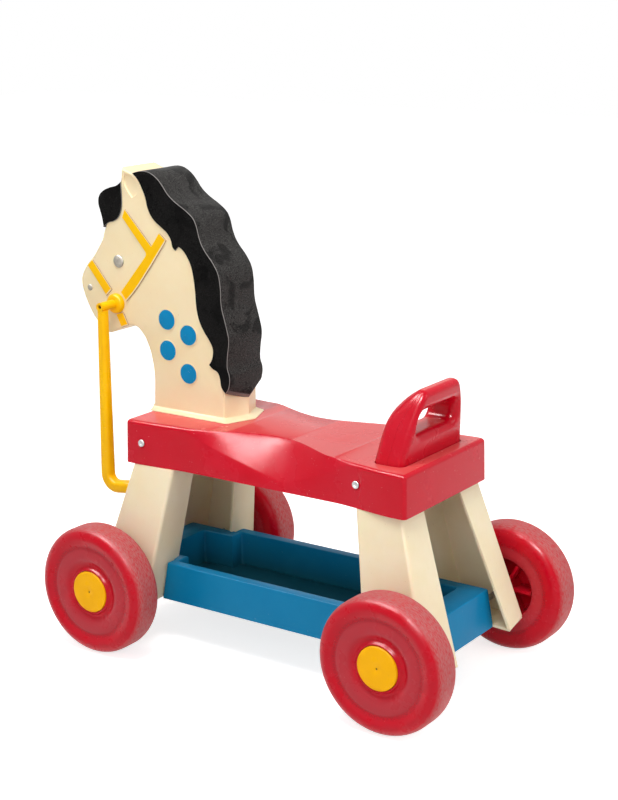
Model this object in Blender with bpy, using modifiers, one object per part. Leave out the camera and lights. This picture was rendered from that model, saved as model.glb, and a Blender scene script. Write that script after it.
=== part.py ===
"""A child's ride-on horse: a moulded horse and saddle seat on four plastic wheels.

Metres, Z up, X towards the nose, Y to the horse's left. Sizes along X are counted from midway
between the two axles. One empty then moves the whole toy so that the origin is under its middle.
"""
import math

import bmesh
import bpy
from mathutils import Matrix, Vector

# Gaps between pieces
GAP = 0.0003             # pieces that touch
SLOT_GAP = 0.0008        # round a piece that drops into a slot
TURN_GAP = 0.0003        # round a turning shaft
LEG_GAP = 0.0005         # between the tray and the legs that straddle it

# Wheels, all four alike
WHEELBASE = 0.364
TRACK = 0.2536           # between the middles of a left and a right wheel
WHEEL_R = 0.070
WHEEL_WIDTH = 0.040
WHEEL_SHOULDER = 0.009   # rounding between tread and side
WHEEL_SIDES = 24
WHEEL_RIBS = 6
RIB_THICKNESS = 0.003
WEB_THICKNESS = 0.004    # disc between the cap's well and the open back
RECESS_R = 0.031         # open back of the wheel
HUB_TUBE_R = 0.0100
WELL_DEPTH = 0.0125      # from the side wall down to the web

# Hub caps and what holds the wheels
CAP_R = 0.0226
CAP_LENGTH = 0.0095
CAP_WALL = 0.0014
CAP_SINK = 0.0017        # below the wheel's side wall
CAP_SIDES = 16
AXLE_R = 0.003175
AXLE_END = 0.0045        # length past the push nut's seat
NUT_R = 0.0075
NUT_THICKNESS = 0.0012
SPACER_R = 0.0085

# Legs: straight tapered channels, open towards the middle of the toy
LEG_BOTTOM = 0.0475
LEG_TOP = 0.1985         # shoulder that carries the seat
LEG_WALL = 0.0028
LEG_CORNER = 0.004
LEG_SHIFT = 0.0025       # legs and tray stand this far forward of the axles
LEG_END_TOP = 0.1700     # distance of the wall facing the toy's end, at the shoulder
LEG_END_RAKE = 0.295     # and how much further out for each metre down
LEG_NOTCH_TOP = 0.1160   # the same for the wall that faces the other axle
LEG_NOTCH_RAKE = 0.165
LEG_SIDE_TOP = 0.0766
LEG_SIDE_RAKE = 0.156
LEG_LIP_TOP = 0.0372     # free edges of the channel's two walls
LEG_LIP_RAKE = 0.1675
LEG_BOSS_R = 0.0095
LEG_BOSS_LENGTH = 0.0020
PLUG_TOP = 0.2365        # head of the leg, inside the seat
PLUG_STEP = 0.0015       # how far the head is drawn in at the wall that faces the toy's end
PLUG_NOTCH_STEP = 0.008  # and at the other wall, clear of the rear cross pin
TAB_NOTCH = 0.104        # tab that reaches the rear cross pin
TAB_DEPTH = 0.032

# Seat: a moulded shell, open below, with a scoop for each thigh
SEAT_BOTTOM = 0.1990
SEAT_TOP = 0.2467
SEAT_WALL = 0.0030
SEAT_FRONT = 0.1826
SEAT_REAR = -0.1740
SEAT_CORNER = 0.0045
SEAT_EDGE = 0.0045
SEAT_END_DRAFT = 0.0006
SEAT_SIDE_DRAFT = 0.0010
SEAT_REAR_DROP = 0.0030  # the top falls this much from the sitter to the handle
SEAT_FALL_START = -0.020
SEAT_FALL_END = -0.110
WAIST_HALF = 0.0722      # half width along the middle
FRONT_HALF = 0.0772
REAR_HALF = 0.0815
FLARE_LENGTH = 0.080
SCOOP_CENTRE = 0.004
SCOOP_HALF_LENGTH = 0.080
SCOOP_DEPTH = 0.0240     # sideways, at the top
SCOOP_ROLL = 1.7         # how softly the slope rolls over into the top
SCOOP_FADE = 1.5
RIDGE_CENTRE = -0.020    # where the scoop reaches furthest down
RIDGE_FRONT = 0.124
RIDGE_REAR = 0.080
RIDGE_DROP = 0.0360
RIDGE_FADE = 1.2
CORNER_SHARE = 0.6       # how much of the top's rounding the upright corners take up
SEAT_SHARES = (0, 0.35, 0.65, 0.85, 0.97, 1)
SEAT_STATIONS = 14
SEAT_RIB_X = (-0.060, -0.005, 0.050)
SEAT_RIB_DEPTH = 0.022
SEAT_RIB_HALF = 0.036
SLOT_DEPTH = 0.012       # of the cuts that open the slots, up and down from the top
PIN_HEIGHT = 0.2230
PIN_R = 0.00325
PIN_BORE = 0.0019
THROUGH = 0.200          # a drill longer than the seat is wide
ONE_WALL = 0.030         # a drill through one leg's wall
PIN_FRONT_X = 0.160
PIN_REAR_X = -0.113

# Rear handle
HANDLE_FRONT = -0.1225
HANDLE_FRONT_LEAN = 0.146
HANDLE_REAR = -0.1571
HANDLE_REAR_LEAN = 0.183
HANDLE_HALF = 0.0600
HANDLE_HEIGHT = 0.0700   # above the seat
HANDLE_SINK = 0.0090     # into the seat's slot
FRONT_CORNER = 0.0095    # upright corners
FRONT_CORNER_GROWTH = 0.25
REAR_CORNER = 0.0080
FRONT_CROWN_START = 0.028    # the front face curves back from this height on
FRONT_CROWN = 0.0255     # by this much at the top
FRONT_CROWN_POWER = 2.6
REAR_CROWN = 0.0085      # rounding from the top into the rear face
HOLE_HALF = 0.0365
HOLE_LOW = 0.0240        # above the seat
HOLE_HIGH = 0.0425
HOLE_CORNER = 0.008
HOLE_ROUND = 0.0042
FOOT_HALF = 0.034
FOOT_DEPTH = 0.0395
FOOT_FRONT = -0.1045
FOOT_REAR = -0.155

# Neck and head: a flat moulding that stands in the seat
NECK_REAR = 0.084        # from here and from the seat's top, head outlines are measured
HEAD_HALF = 0.0288
HEAD_ROUND = 0.0025
NECK_BASE = 0.0975       # length of the neck on the seat
KEEL_DEPTH = 0.0115      # the neck's back is a blunt V
KEEL_TOP = 0.0233
KEEL_UNDER_MANE = 0.004
MANE_POINT = 0.0055      # how far the mane's lower end runs out to its point
MANE_POINT_HEIGHT = 0.034
MANE_CREASE = 0.0030     # and how far the crease above it stands out
MANE_CREASE_TOP = 0.045
TONGUE_REAR = 0.008
TONGUE_FRONT = 0.090
TONGUE_DEPTH = 0.0395
FLANGE = 0.006
FLANGE_HEIGHT = 0.009
EAR_DEPTH = 0.0010
HAIR_HALF = 0.0301       # mane and forelock stand proud of the head
HAIR_ROUND = 0.0008
EYE = (0.1408, 0.1613)
EYE_R = 0.0070
EYE_HEIGHT = 0.0022
EYE_SHANK_R = 0.0025
NOSTRIL = (0.1838, 0.1281)
NOSTRIL_R = 0.0035
NOSTRIL_HEIGHT = 0.0012
NOSTRIL_SHANK_R = 0.0015
SHANK_LENGTH = 0.008
LABEL_THICKNESS = 0.0006
SPOT_R = 0.0103
SPOTS = ((0.0749, 0.1035), (0.0458, 0.0897), (0.0745, 0.0696), (0.0467, 0.0472))

# Reins: one stiff moulding that swings on a rod through the mouth
BIT = (0.1455, 0.1143)
BIT_R = 0.0020
DISC_R = 0.0110
DISC_THICKNESS = 0.0060
SHAFT_R = 0.0048
SHAFT_END = 0.0580
ARM_Y = 0.0525
ARM_DROP = 0.2025        # from the bit down to the grip's middle
ARM_DEPTH = (0.0108, 0.0128)    # front to back, at the bit and at the grip
ARM_BREADTH = (0.0102, 0.0138)
ARM_CORNER = 0.0028
ARM_SLANT = 0.0012       # how far the arms lean forward over their length
ARM_BEND = 0.014
GRIP_BACK = 0.035        # how far the grip lies behind the bit
GRIP_BEND = 0.009
GRIP_SLOPE = 0.06        # the grip lies a little higher than the bends

# Tray between the legs
TRAY_RIM = 0.0893
TRAY_BOTTOM = 0.0478
TRAY_WALL = 0.0024
TRAY_FLOOR = 0.0520
WING_HALF = 0.0694       # the wide middle
WING_DRAFT = 0.0012
TRAY_END = 0.1960
TRAY_END_DRAFT = 0.0050
TRAY_NARROW = 0.0550     # half width between the legs
TRAY_NARROW_DRAFT = 0.0040
CAVITY_WING_X = 0.1270
CAVITY_WING_Y = 0.0574
CAVITY_END_X = 0.1670
CAVITY_END_Y = 0.0400
CAVITY_DRAFT = 0.0020
TRAY_CORNER = 0.0030

# Outline of the head and neck: X forwards of the neck's back, height above the seat.
# A third value marks a corner. The stretches under the mane and the forelock don't show.
HEAD_OUTLINE = (
    (0.0965, 0.0193), (0.0961, 0.0394), (0.0981, 0.0542), (0.1024, 0.0694), (0.1117, 0.0848),
    (0.1216, 0.0911), (0.1348, 0.0887), (0.1524, 0.0809), (0.1604, 0.0797), (0.1757, 0.0903),
    (0.1864, 0.1043), (0.1960, 0.1260), (0.1972, 0.1348), (0.1957, 0.1415), (0.1874, 0.1543),
    (0.1779, 0.1641), (0.1711, 0.1733), (0.1635, 0.1854), (0.1616, 0.1913), (0.1565, 0.2033),
    (0.1490, 0.2213), (0.1380, 0.2383), (0.1348, 0.2491), (0.1328, 0.2641, "corner"),
    (0.1192, 0.2591, "corner"), (0.1060, 0.2525), (0.0860, 0.2405), (0.0660, 0.2233),
    (0.0460, 0.2053), (0.0280, 0.1783), (0.0160, 0.1483), (0.0100, 0.1133), (0.0060, 0.0833),
    (0.0055, 0.0583),
)
MANE_FRONT = (
    (-0.0026, 0.0318, "corner"), (0.0026, 0.0384), (0.0041, 0.0470), (0.0069, 0.0535),
    (0.0140, 0.0569), (0.0185, 0.0607, "corner"), (0.0150, 0.0661), (0.0131, 0.0721),
    (0.0134, 0.0799), (0.0180, 0.0880), (0.0248, 0.0969), (0.0306, 0.1078), (0.0338, 0.1210),
    (0.0353, 0.1411), (0.0369, 0.1528), (0.0396, 0.1645), (0.0443, 0.1739), (0.0516, 0.1821),
    (0.0558, 0.1843, "corner"), (0.0605, 0.1799, "corner"), (0.0640, 0.1830), (0.0663, 0.1907),
    (0.0711, 0.1977), (0.0785, 0.2031), (0.0872, 0.2088), (0.0939, 0.2162), (0.0975, 0.2239),
    (0.0996, 0.2326), (0.1038, 0.2423), (0.1098, 0.2522), (0.1172, 0.2591, "corner"),
)
MANE_BACK = (
    (0.1055, 0.2619), (0.0965, 0.2619), (0.0891, 0.2594), (0.0816, 0.2545), (0.0755, 0.2481),
    (0.0696, 0.2407), (0.0622, 0.2343), (0.0427, 0.2226), (0.0355, 0.2168), (0.0320, 0.2112),
    (0.0270, 0.1950), (0.0229, 0.1866), (0.0087, 0.1693), (0.0035, 0.1600), (0.0013, 0.1494),
    (-0.0003, 0.1247), (-0.0036, 0.1126), (-0.0067, 0.1015), (-0.0088, 0.0913),
    (-0.0066, 0.0709), (-0.0063, 0.0600), (-0.0090, 0.0507), (-0.0083, 0.0409),
    (-0.0063, 0.0357),
)
FORELOCK_OUTLINE = (
    (0.1334, 0.2489, "corner"), (0.1327, 0.2350), (0.1330, 0.2229), (0.1345, 0.2167),
    (0.1388, 0.2094), (0.1450, 0.2051), (0.1532, 0.2026), (0.1574, 0.1995),
    (0.1603, 0.1970, "corner"), (0.1624, 0.2084), (0.1646, 0.2153), (0.1668, 0.2236),
    (0.1653, 0.2315), (0.1595, 0.2373), (0.1509, 0.2412), (0.1396, 0.2446),
)
EAR_OUTLINE = (
    (0.1194, 0.2320, "corner"), (0.1259, 0.2399), (0.1303, 0.2493), (0.1275, 0.2579, "corner"),
    (0.1192, 0.2560), (0.1128, 0.2470), (0.1114, 0.2380),
)
CHEEK_STRAP = (
    (0.1293, 0.2188, "corner"), (0.0936, 0.1814, "corner"), (0.0822, 0.1968, "corner"),
    (0.0743, 0.1902, "corner"), (0.0865, 0.1739), (0.0989, 0.1575), (0.1198, 0.1315),
    (0.1318, 0.1194, "corner"), (0.1385, 0.1273, "corner"), (0.1029, 0.1690, "corner"),
    (0.1012, 0.1726), (0.1049, 0.1784, "corner"), (0.1332, 0.2101, "corner"),
)
NOSE_STRAP = (
    (0.1771, 0.1573, "corner"), (0.1531, 0.1297, "corner"), (0.1606, 0.1226, "corner"),
    (0.1831, 0.1497, "corner"),
)
CHIN_STRAP = (
    (0.1463, 0.1013, "corner"), (0.1371, 0.1046, "corner"), (0.1338, 0.0981, "corner"),
    (0.1421, 0.0940, "corner"),
)
# Half width of the handle at each height above the seat
HANDLE_SIDE = ((0.0163, 0.0561), (0.0335, 0.0506), (0.0506, 0.0440), (0.0600, 0.0392),
               (0.0660, 0.0345), (0.0690, 0.0305), (HANDLE_HEIGHT, 0.0280))

# Finishes: sRGB colour, roughness, metallic
CREAM = ("#EFDDB5", 0.35, 0.0)
RED = ("#C8102E", 0.35, 0.0)
BLUE = ("#1480A5", 0.40, 0.0)
YELLOW = ("#F2B20A", 0.35, 0.0)
BLACK = ("#1C1C1C", 0.35, 0.0)
SPOT_BLUE = ("#0582B4", 0.40, 0.0)
ZINC = ("#9A9C9E", 0.35, 1.0)
GREY_METAL = ("#8A8880", 0.45, 1.0)
SMOOTH_ANGLE = math.radians(35)


# Helpers for the scene

def clear_scene():
    for obj in list(bpy.data.objects):
        bpy.data.objects.remove(obj, do_unlink=True)


def new_group(name):
    group = bpy.data.collections.new(name)
    bpy.context.scene.collection.children.link(group)
    return group


def add_empty(name, location=(0, 0, 0), parent=None):
    empty = bpy.data.objects.new(name, None)
    empty.location = location
    empty.parent = parent
    PARTS.objects.link(empty)
    return empty


def linear(hex_colour):
    """Turn an sRGB hex colour into the linear values that a shader socket takes."""
    values = [int(hex_colour[i:i + 2], 16) / 255 for i in (1, 3, 5)]
    return [v / 12.92 if v <= 0.04045 else ((v + 0.055) / 1.055) ** 2.4 for v in values] + [1.0]


def paint(obj, finish):
    colour, roughness, metallic = finish
    material = bpy.data.materials.new(obj.name)
    material.use_nodes = True
    shader = material.node_tree.nodes["Principled BSDF"]
    shader.inputs["Base Color"].default_value = linear(colour)
    shader.inputs["Roughness"].default_value = roughness
    shader.inputs["Metallic"].default_value = metallic
    material.diffuse_color = linear(colour)
    obj.data.materials.append(material)


def add_object(name, mesh, group, parent, location, turn):
    obj = bpy.data.objects.new(name, mesh)
    obj.parent = parent
    obj.location = location
    obj.rotation_euler = [math.radians(angle) for angle in turn]
    group.objects.link(obj)
    return obj


def add_part(name, bm, finish, parent, location=(0, 0, 0), turn=(0, 0, 0)):
    mesh = bpy.data.meshes.new(name)
    bm.to_mesh(mesh)
    bm.free()
    obj = add_object(name, mesh, PARTS, parent, location, turn)
    mesh.shade_smooth()
    mesh.set_sharp_from_angle(angle=SMOOTH_ANGLE)
    paint(obj, finish)
    return obj


def add_cutter(name, bm, parent, location=(0, 0, 0), turn=(0, 0, 0)):
    mesh = bpy.data.meshes.new(name)
    bm.to_mesh(mesh)
    bm.free()
    obj = add_object(name, mesh, CUTTERS, parent, location, turn)
    obj.hide_render = True
    obj.display_type = "WIRE"
    return obj


def combine(obj, tool, operation="DIFFERENCE"):
    modifier = obj.modifiers.new(tool.name, "BOOLEAN")
    modifier.operation = operation
    modifier.solver = "EXACT"
    modifier.object = tool


def solidify(obj, thickness):
    modifier = obj.modifiers.new("wall", "SOLIDIFY")
    modifier.thickness = thickness
    modifier.offset = -1
    modifier.use_quality_normals = True


# Helpers for shapes

def facet_radius(radius, sides):
    """Give the corner radius whose flat sides still clear a round of this radius."""
    return radius / math.cos(math.pi / sides)


def smooth_step(value):
    value = min(1.0, max(0.0, value))
    return value * value * (3 - 2 * value)


def arc(centre, radius, start, end, steps):
    """Points of an arc, from one angle to the other in degrees, both ends included."""
    points = []
    for step in range(steps + 1):
        angle = math.radians(start + (end - start) * step / steps)
        points.append((centre[0] + radius * math.cos(angle), centre[1] + radius * math.sin(angle)))
    return points


def corners(points):
    return [(x, y, "corner") for x, y in points]


def box(bm, low, high):
    size = Vector(high) - Vector(low)
    middle = (Vector(high) + Vector(low)) / 2
    matrix = Matrix.Translation(middle) @ Matrix.Diagonal((*size, 1))
    bmesh.ops.create_cube(bm, size=1, matrix=matrix)


def cylinder(bm, radius, low, high, sides, top_radius=None):
    """A cylinder or cone along Z, from one height to another."""
    matrix = Matrix.Translation((0, 0, (low + high) / 2))
    top = radius if top_radius is None else top_radius
    bmesh.ops.create_cone(bm, cap_ends=True, segments=sides, radius1=radius, radius2=top,
                          depth=high - low, matrix=matrix)


def loft(bm, rings, closed=True):
    """Join rings of points with quads, each ring running anticlockwise and the next one above."""
    layers = [[bm.verts.new(point) for point in ring] for ring in rings]
    for low, high in zip(layers, layers[1:]):
        count = len(low)
        for i in range(count if closed else count - 1):
            j = (i + 1) % count
            bm.faces.new((low[i], low[j], high[j], high[i]))
    return layers


def loft_solid(bm, rings):
    """Join rings of points with quads and close both ends."""
    layers = loft(bm, rings)
    bm.faces.new(reversed(layers[0]))
    bm.faces.new(layers[-1])


def turned(name, profile, sides, finish, parent, location, turn, closed):
    """Turn a profile of radius and height about Z, outer side from top to bottom."""
    mesh = bpy.data.meshes.new(name)
    count = len(profile)
    edges = [(i, (i + 1) % count) for i in range(count if closed else count - 1)]
    mesh.from_pydata([(radius, 0, height) for radius, height in profile], edges, [])
    obj = add_object(name, mesh, PARTS, parent, location, turn)
    screw = obj.modifiers.new("turn", "SCREW")
    screw.axis = "Z"
    screw.steps = sides
    screw.render_steps = sides
    screw.use_merge_vertices = True
    screw.merge_threshold = 0.00001
    screw.use_smooth_shade = True
    paint(obj, finish)
    return obj


def outline_curve(loops, half, resolution):
    """A flat 2D curve, filled on both sides and as thick as twice the half thickness."""
    curve = bpy.data.curves.new("outline", "CURVE")
    curve.dimensions = "2D"
    curve.fill_mode = "BOTH"
    curve.extrude = half
    curve.resolution_u = resolution
    for points in loops:
        spline = curve.splines.new("BEZIER")
        spline.bezier_points.add(len(points) - 1)
        for knot, point in zip(spline.bezier_points, points):
            knot.co = (point[0], point[1], 0)
            kind = "VECTOR" if len(point) == 3 else "AUTO"
            knot.handle_left_type = kind
            knot.handle_right_type = kind
        spline.use_cyclic_u = True
    return curve


def plate(loops, half, resolution=2):
    """Make the thick outline a closed mesh with flat, undivided faces."""
    curve = outline_curve(loops, half, resolution)
    holder = bpy.data.objects.new("outline", curve)
    PARTS.objects.link(holder)
    depsgraph = bpy.context.evaluated_depsgraph_get()
    mesh = bpy.data.meshes.new_from_object(holder.evaluated_get(depsgraph))
    bpy.data.objects.remove(holder, do_unlink=True)
    bpy.data.curves.remove(curve)
    bm = bmesh.new()
    bm.from_mesh(mesh)
    bpy.data.meshes.remove(mesh)
    bmesh.ops.remove_doubles(bm, verts=bm.verts, dist=0.00001)
    bmesh.ops.recalc_face_normals(bm, faces=bm.faces)
    bmesh.ops.dissolve_limit(bm, angle_limit=0.001, verts=bm.verts, edges=bm.edges)
    return bm


def round_rims(bm, half, radius, segments, above=-1.0):
    """Round the edges round a plate's two faces, above a height of its own."""
    rims = [edge for edge in bm.edges
            if all(abs(vert.co.z) > half - 1e-6 and vert.co.y > above for vert in edge.verts)
            and edge.verts[0].co.z * edge.verts[1].co.z > 0]
    bmesh.ops.bevel(bm, geom=rims, offset=radius, segments=segments, profile=0.5,
                    affect="EDGES", loop_slide=True, clamp_overlap=False)


def rod(name, radius, length, sides, finish, parent, location):
    """A plain rod along Y."""
    bm = bmesh.new()
    cylinder(bm, radius, -length / 2, length / 2, sides)
    return add_part(name, bm, finish, parent, location, (90, 0, 0))


def drill(name, radius, length, sides, parent, location):
    """A round cutter along Y."""
    bm = bmesh.new()
    cylinder(bm, facet_radius(radius, sides), -length / 2, length / 2, sides)
    return add_cutter(name, bm, parent, location, (90, 0, 0))


# Wheels, axles and hub caps

def wheel_profile():
    """Half section of a wheel: radius and distance from its middle plane, outer face up."""
    half = WHEEL_WIDTH / 2
    shoulder = WHEEL_R - WHEEL_SHOULDER
    bore = facet_radius(AXLE_R + TURN_GAP, WHEEL_SIDES)
    well_floor = half - WELL_DEPTH
    face = [(CAP_R + GAP, half - 0.0035), (CAP_R + 0.0075, half - 0.0050),
            (CAP_R + 0.0165, half - 0.0016), (shoulder - 0.0085, half - 0.0027),
            (shoulder - 0.0045, half - 0.0008)]
    outer = arc((shoulder, half - WHEEL_SHOULDER), WHEEL_SHOULDER, 90, 0, 2)
    inner = arc((shoulder, -half + WHEEL_SHOULDER), WHEEL_SHOULDER, 0, -90, 2)
    back = [(RECESS_R + 0.004, -half), (RECESS_R - 0.001, well_floor - WEB_THICKNESS),
            (HUB_TUBE_R + 0.001, well_floor - WEB_THICKNESS), (HUB_TUBE_R, -half), (bore, -half)]
    return face + outer + inner + back + [(bore, well_floor), (CAP_R + GAP, well_floor)]


def add_wheel(corner, x, side):
    """One wheel with its cap, push nut and spacer; side is 1 on the left and -1 on the right."""
    turn = (-90 * side, 0, 0)
    centre = (x, side * TRACK / 2, WHEEL_R)
    half = WHEEL_WIDTH / 2
    well_floor = half - WELL_DEPTH
    wheel = turned("wheel_" + corner, wheel_profile(), WHEEL_SIDES, RED, TOY, centre, turn, True)
    ribs = bmesh.new()
    low = -half + 0.003
    high = well_floor - WEB_THICKNESS + 0.001
    for i in range(WHEEL_RIBS):
        start = len(ribs.verts)
        box(ribs, (HUB_TUBE_R - 0.001, -RIB_THICKNESS / 2, low), (RECESS_R + 0.001, RIB_THICKNESS / 2, high))
        ribs.verts.ensure_lookup_table()
        turn_rib = Matrix.Rotation(2 * math.pi * (i + 0.5) / WHEEL_RIBS, 3, "Z")
        bmesh.ops.rotate(ribs, verts=ribs.verts[start:], cent=(0, 0, 0), matrix=turn_rib)
    combine(wheel, add_cutter("ribs_of_wheel_" + corner, ribs, TOY, centre, turn), "UNION")

    crown = half - CAP_SINK
    skirt = crown - CAP_LENGTH
    cap = [(0, crown + 0.0004), (CAP_R * 0.6, crown), (CAP_R - 0.0008, crown - 0.0005),
           (CAP_R, crown - 0.0016), (CAP_R, skirt), (CAP_R - CAP_WALL, skirt),
           (CAP_R - CAP_WALL, crown - CAP_WALL - 0.0016), (0, crown - CAP_WALL)]
    turned("hub_cap_" + corner, cap, CAP_SIDES, YELLOW, TOY, centre, turn, False)

    seat = well_floor + GAP
    bore = facet_radius(AXLE_R + GAP, 10)
    nut = [(bore, seat + 2 * NUT_THICKNESS), (bore + 0.0012, seat + 2 * NUT_THICKNESS),
           (NUT_R, seat + NUT_THICKNESS), (NUT_R, seat), (bore, seat)]
    turned("push_nut_" + corner, nut, 10, ZINC, TOY, centre, turn, True)

    inner_end = leg_side(WHEEL_R) + LEG_BOSS_LENGTH + GAP - TRACK / 2
    spacer = [(bore, -half - GAP), (SPACER_R, -half - GAP), (SPACER_R, inner_end), (bore, inner_end)]
    turned("wheel_spacer_" + corner, spacer, 10, BLACK, TOY, centre, turn, True)


def add_axle(name, x):
    seat = TRACK / 2 + WHEEL_WIDTH / 2 - WELL_DEPTH
    rod(name, AXLE_R, 2 * (seat + AXLE_END), 16, ZINC, TOY, (x, 0, WHEEL_R))


# Legs

def leg_end(z):
    return LEG_END_TOP + LEG_END_RAKE * (LEG_TOP - z)


def leg_notch(z):
    return LEG_NOTCH_TOP + LEG_NOTCH_RAKE * (LEG_TOP - z)


def leg_side(z):
    return LEG_SIDE_TOP + LEG_SIDE_RAKE * (LEG_TOP - z)


def leg_lip(z):
    return LEG_LIP_TOP + LEG_LIP_RAKE * (LEG_TOP - z)


def channel(z, end, notch, side_end, side_notch, lip):
    """Section of a leg: free edge, two rounded corners, free edge."""
    radius = LEG_CORNER
    points = [(end, lip)]
    points += arc((end - radius, side_end - radius), radius, 0, 90, 2)
    points += arc((notch + radius, side_notch - radius), radius, 90, 180, 2)
    points.append((notch, lip))
    return [(x, y, z) for x, y in points]


def mirror_to(bm, end, side):
    """Turn a piece drawn at the front left into the one at its own corner."""
    bmesh.ops.scale(bm, vec=(end, side, 1), verts=bm.verts)
    if end * side < 0:
        bmesh.ops.reverse_faces(bm, faces=bm.faces)


def add_leg(name, end, side):
    """A leg at one corner; end is 1 at the front and -1 at the rear, side is 1 on the left."""
    bm = bmesh.new()
    inside_seat = SEAT_WALL + SEAT_SIDE_DRAFT + GAP
    plug_end = LEG_END_TOP - PLUG_STEP
    plug_notch = LEG_NOTCH_TOP + PLUG_NOTCH_STEP
    side_end = seat_half(plug_end * end + LEG_SHIFT) - inside_seat
    side_notch = seat_half(plug_notch * end + LEG_SHIFT) - inside_seat
    rings = [channel(z, leg_end(z), leg_notch(z), leg_side(z), leg_side(z), leg_lip(z))
             for z in (LEG_BOTTOM, LEG_TOP)]
    rings += [channel(z, plug_end, plug_notch, side_end, side_notch, LEG_LIP_TOP)
              for z in (LEG_TOP + GAP, PLUG_TOP)]
    layers = loft(bm, rings, closed=False)
    bm.faces.new(reversed(layers[0]))
    mirror_to(bm, end, side)
    leg = add_part(name, bm, CREAM, TOY, (LEG_SHIFT, 0, 0))
    solidify(leg, LEG_WALL)

    tab = bmesh.new()
    tab_y = seat_half(TAB_NOTCH * end) - inside_seat - GAP
    box(tab, (TAB_NOTCH, tab_y - LEG_WALL, PLUG_TOP - TAB_DEPTH),
        (plug_notch + LEG_CORNER, tab_y, PLUG_TOP - GAP))
    mirror_to(tab, end, side)
    combine(leg, add_cutter("tab_of_" + name, tab, TOY, (LEG_SHIFT, 0, 0)), "UNION")

    boss = bmesh.new()
    outer = leg_side(WHEEL_R)
    cylinder(boss, LEG_BOSS_R, outer - LEG_WALL, outer + LEG_BOSS_LENGTH, 12)
    axle_x = end * WHEELBASE / 2
    turn = (-90 * side, 0, 0)
    combine(leg, add_cutter("boss_of_" + name, boss, TOY, (axle_x, 0, WHEEL_R), turn), "UNION")
    hole = drill("axle_hole_of_" + name, AXLE_R + GAP, ONE_WALL, 10, TOY, (axle_x, side * outer, WHEEL_R))
    combine(leg, hole)
    pin_x = PIN_FRONT_X if end > 0 else PIN_REAR_X
    pin_y = side * seat_half(pin_x)
    combine(leg, drill("pin_hole_of_" + name, PIN_R + GAP, ONE_WALL, 10, TOY, (pin_x, pin_y, PIN_HEIGHT)))


# Seat

def seat_half(x):
    """Half width of the seat at its bottom edge."""
    front = (FRONT_HALF - WAIST_HALF) * smooth_step((x - SEAT_FRONT + FLARE_LENGTH + 0.01) / FLARE_LENGTH)
    rear = (REAR_HALF - WAIST_HALF) * smooth_step((SEAT_REAR + FLARE_LENGTH + 0.01 - x) / FLARE_LENGTH)
    return WAIST_HALF + front + rear


def fall(x):
    """How far the seat's top has fallen here, towards the handle."""
    return SEAT_REAR_DROP * smooth_step((SEAT_FALL_START - x) / (SEAT_FALL_START - SEAT_FALL_END))


def scoop_depth(x):
    """How far the thigh scoop cuts in from the side at the top."""
    along = abs(x - SCOOP_CENTRE) / SCOOP_HALF_LENGTH
    return SCOOP_DEPTH * max(0.0, 1 - along * along) ** SCOOP_FADE


def ridge_drop(x):
    """How far the thigh scoop's lower ridge lies below the seat's top edge."""
    reach = RIDGE_FRONT if x > RIDGE_CENTRE else RIDGE_REAR
    along = abs(x - RIDGE_CENTRE) / reach
    return RIDGE_DROP * max(0.0, 1 - along ** RIDGE_FADE)


def seat_point(x, y, share):
    """A point of the seat's side: share 0 lies on the ridge and 1 on the top's edge."""
    drop = SEAT_EDGE + ridge_drop(x)
    round_in = 1 - math.sqrt(1 - share * share)
    slope_in = 1 - (1 - share) ** (1 / SCOOP_ROLL)
    scooped = min(1.0, ridge_drop(x) / SEAT_EDGE / 2)
    inward = round_in + (slope_in - round_in) * scooped
    depth = SEAT_EDGE + scoop_depth(x)
    return (x, y - depth * inward, SEAT_TOP - fall(x) - drop * (1 - share))


def seat_ring(share, stations):
    """The seat's outline at one share of the way from the scoop's ridge to its top."""
    round_in = SEAT_EDGE * (1 - math.sqrt(1 - share * share))
    half = []
    front = SEAT_FRONT - SEAT_END_DRAFT
    rear = SEAT_REAR + SEAT_END_DRAFT
    for x, end_x, start in ((front, SEAT_FRONT, 0), (rear, SEAT_REAR, 90)):
        side = 1 if x > 0 else -1
        centre = (x - side * SEAT_CORNER, seat_half(end_x) - SEAT_SIDE_DRAFT - SEAT_CORNER)
        radius = SEAT_CORNER - round_in * CORNER_SHARE
        shift = round_in * (1 - CORNER_SHARE)
        z = SEAT_TOP - fall(x) - SEAT_EDGE * (1 - share)
        for px, py in arc(centre, radius, start, start + 90, 2):
            half.append((px - side * shift, py - shift, z))
        if side > 0:
            half += [seat_point(px, seat_half(px) - SEAT_SIDE_DRAFT, share) for px in stations]
    return half + [(px, -py, pz) for px, py, pz in reversed(half)]


def foot_ring(stations):
    """The seat's bottom edge."""
    half = []
    for x, start in ((SEAT_FRONT, 0), (SEAT_REAR, 90)):
        side = 1 if x > 0 else -1
        half += arc((x - side * SEAT_CORNER, seat_half(x) - SEAT_CORNER), SEAT_CORNER, start, start + 90, 2)
        if side > 0:
            half += [(px, seat_half(px)) for px in stations]
    return [(x, y, SEAT_BOTTOM) for x, y in half + [(x, -y) for x, y in reversed(half)]]


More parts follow.
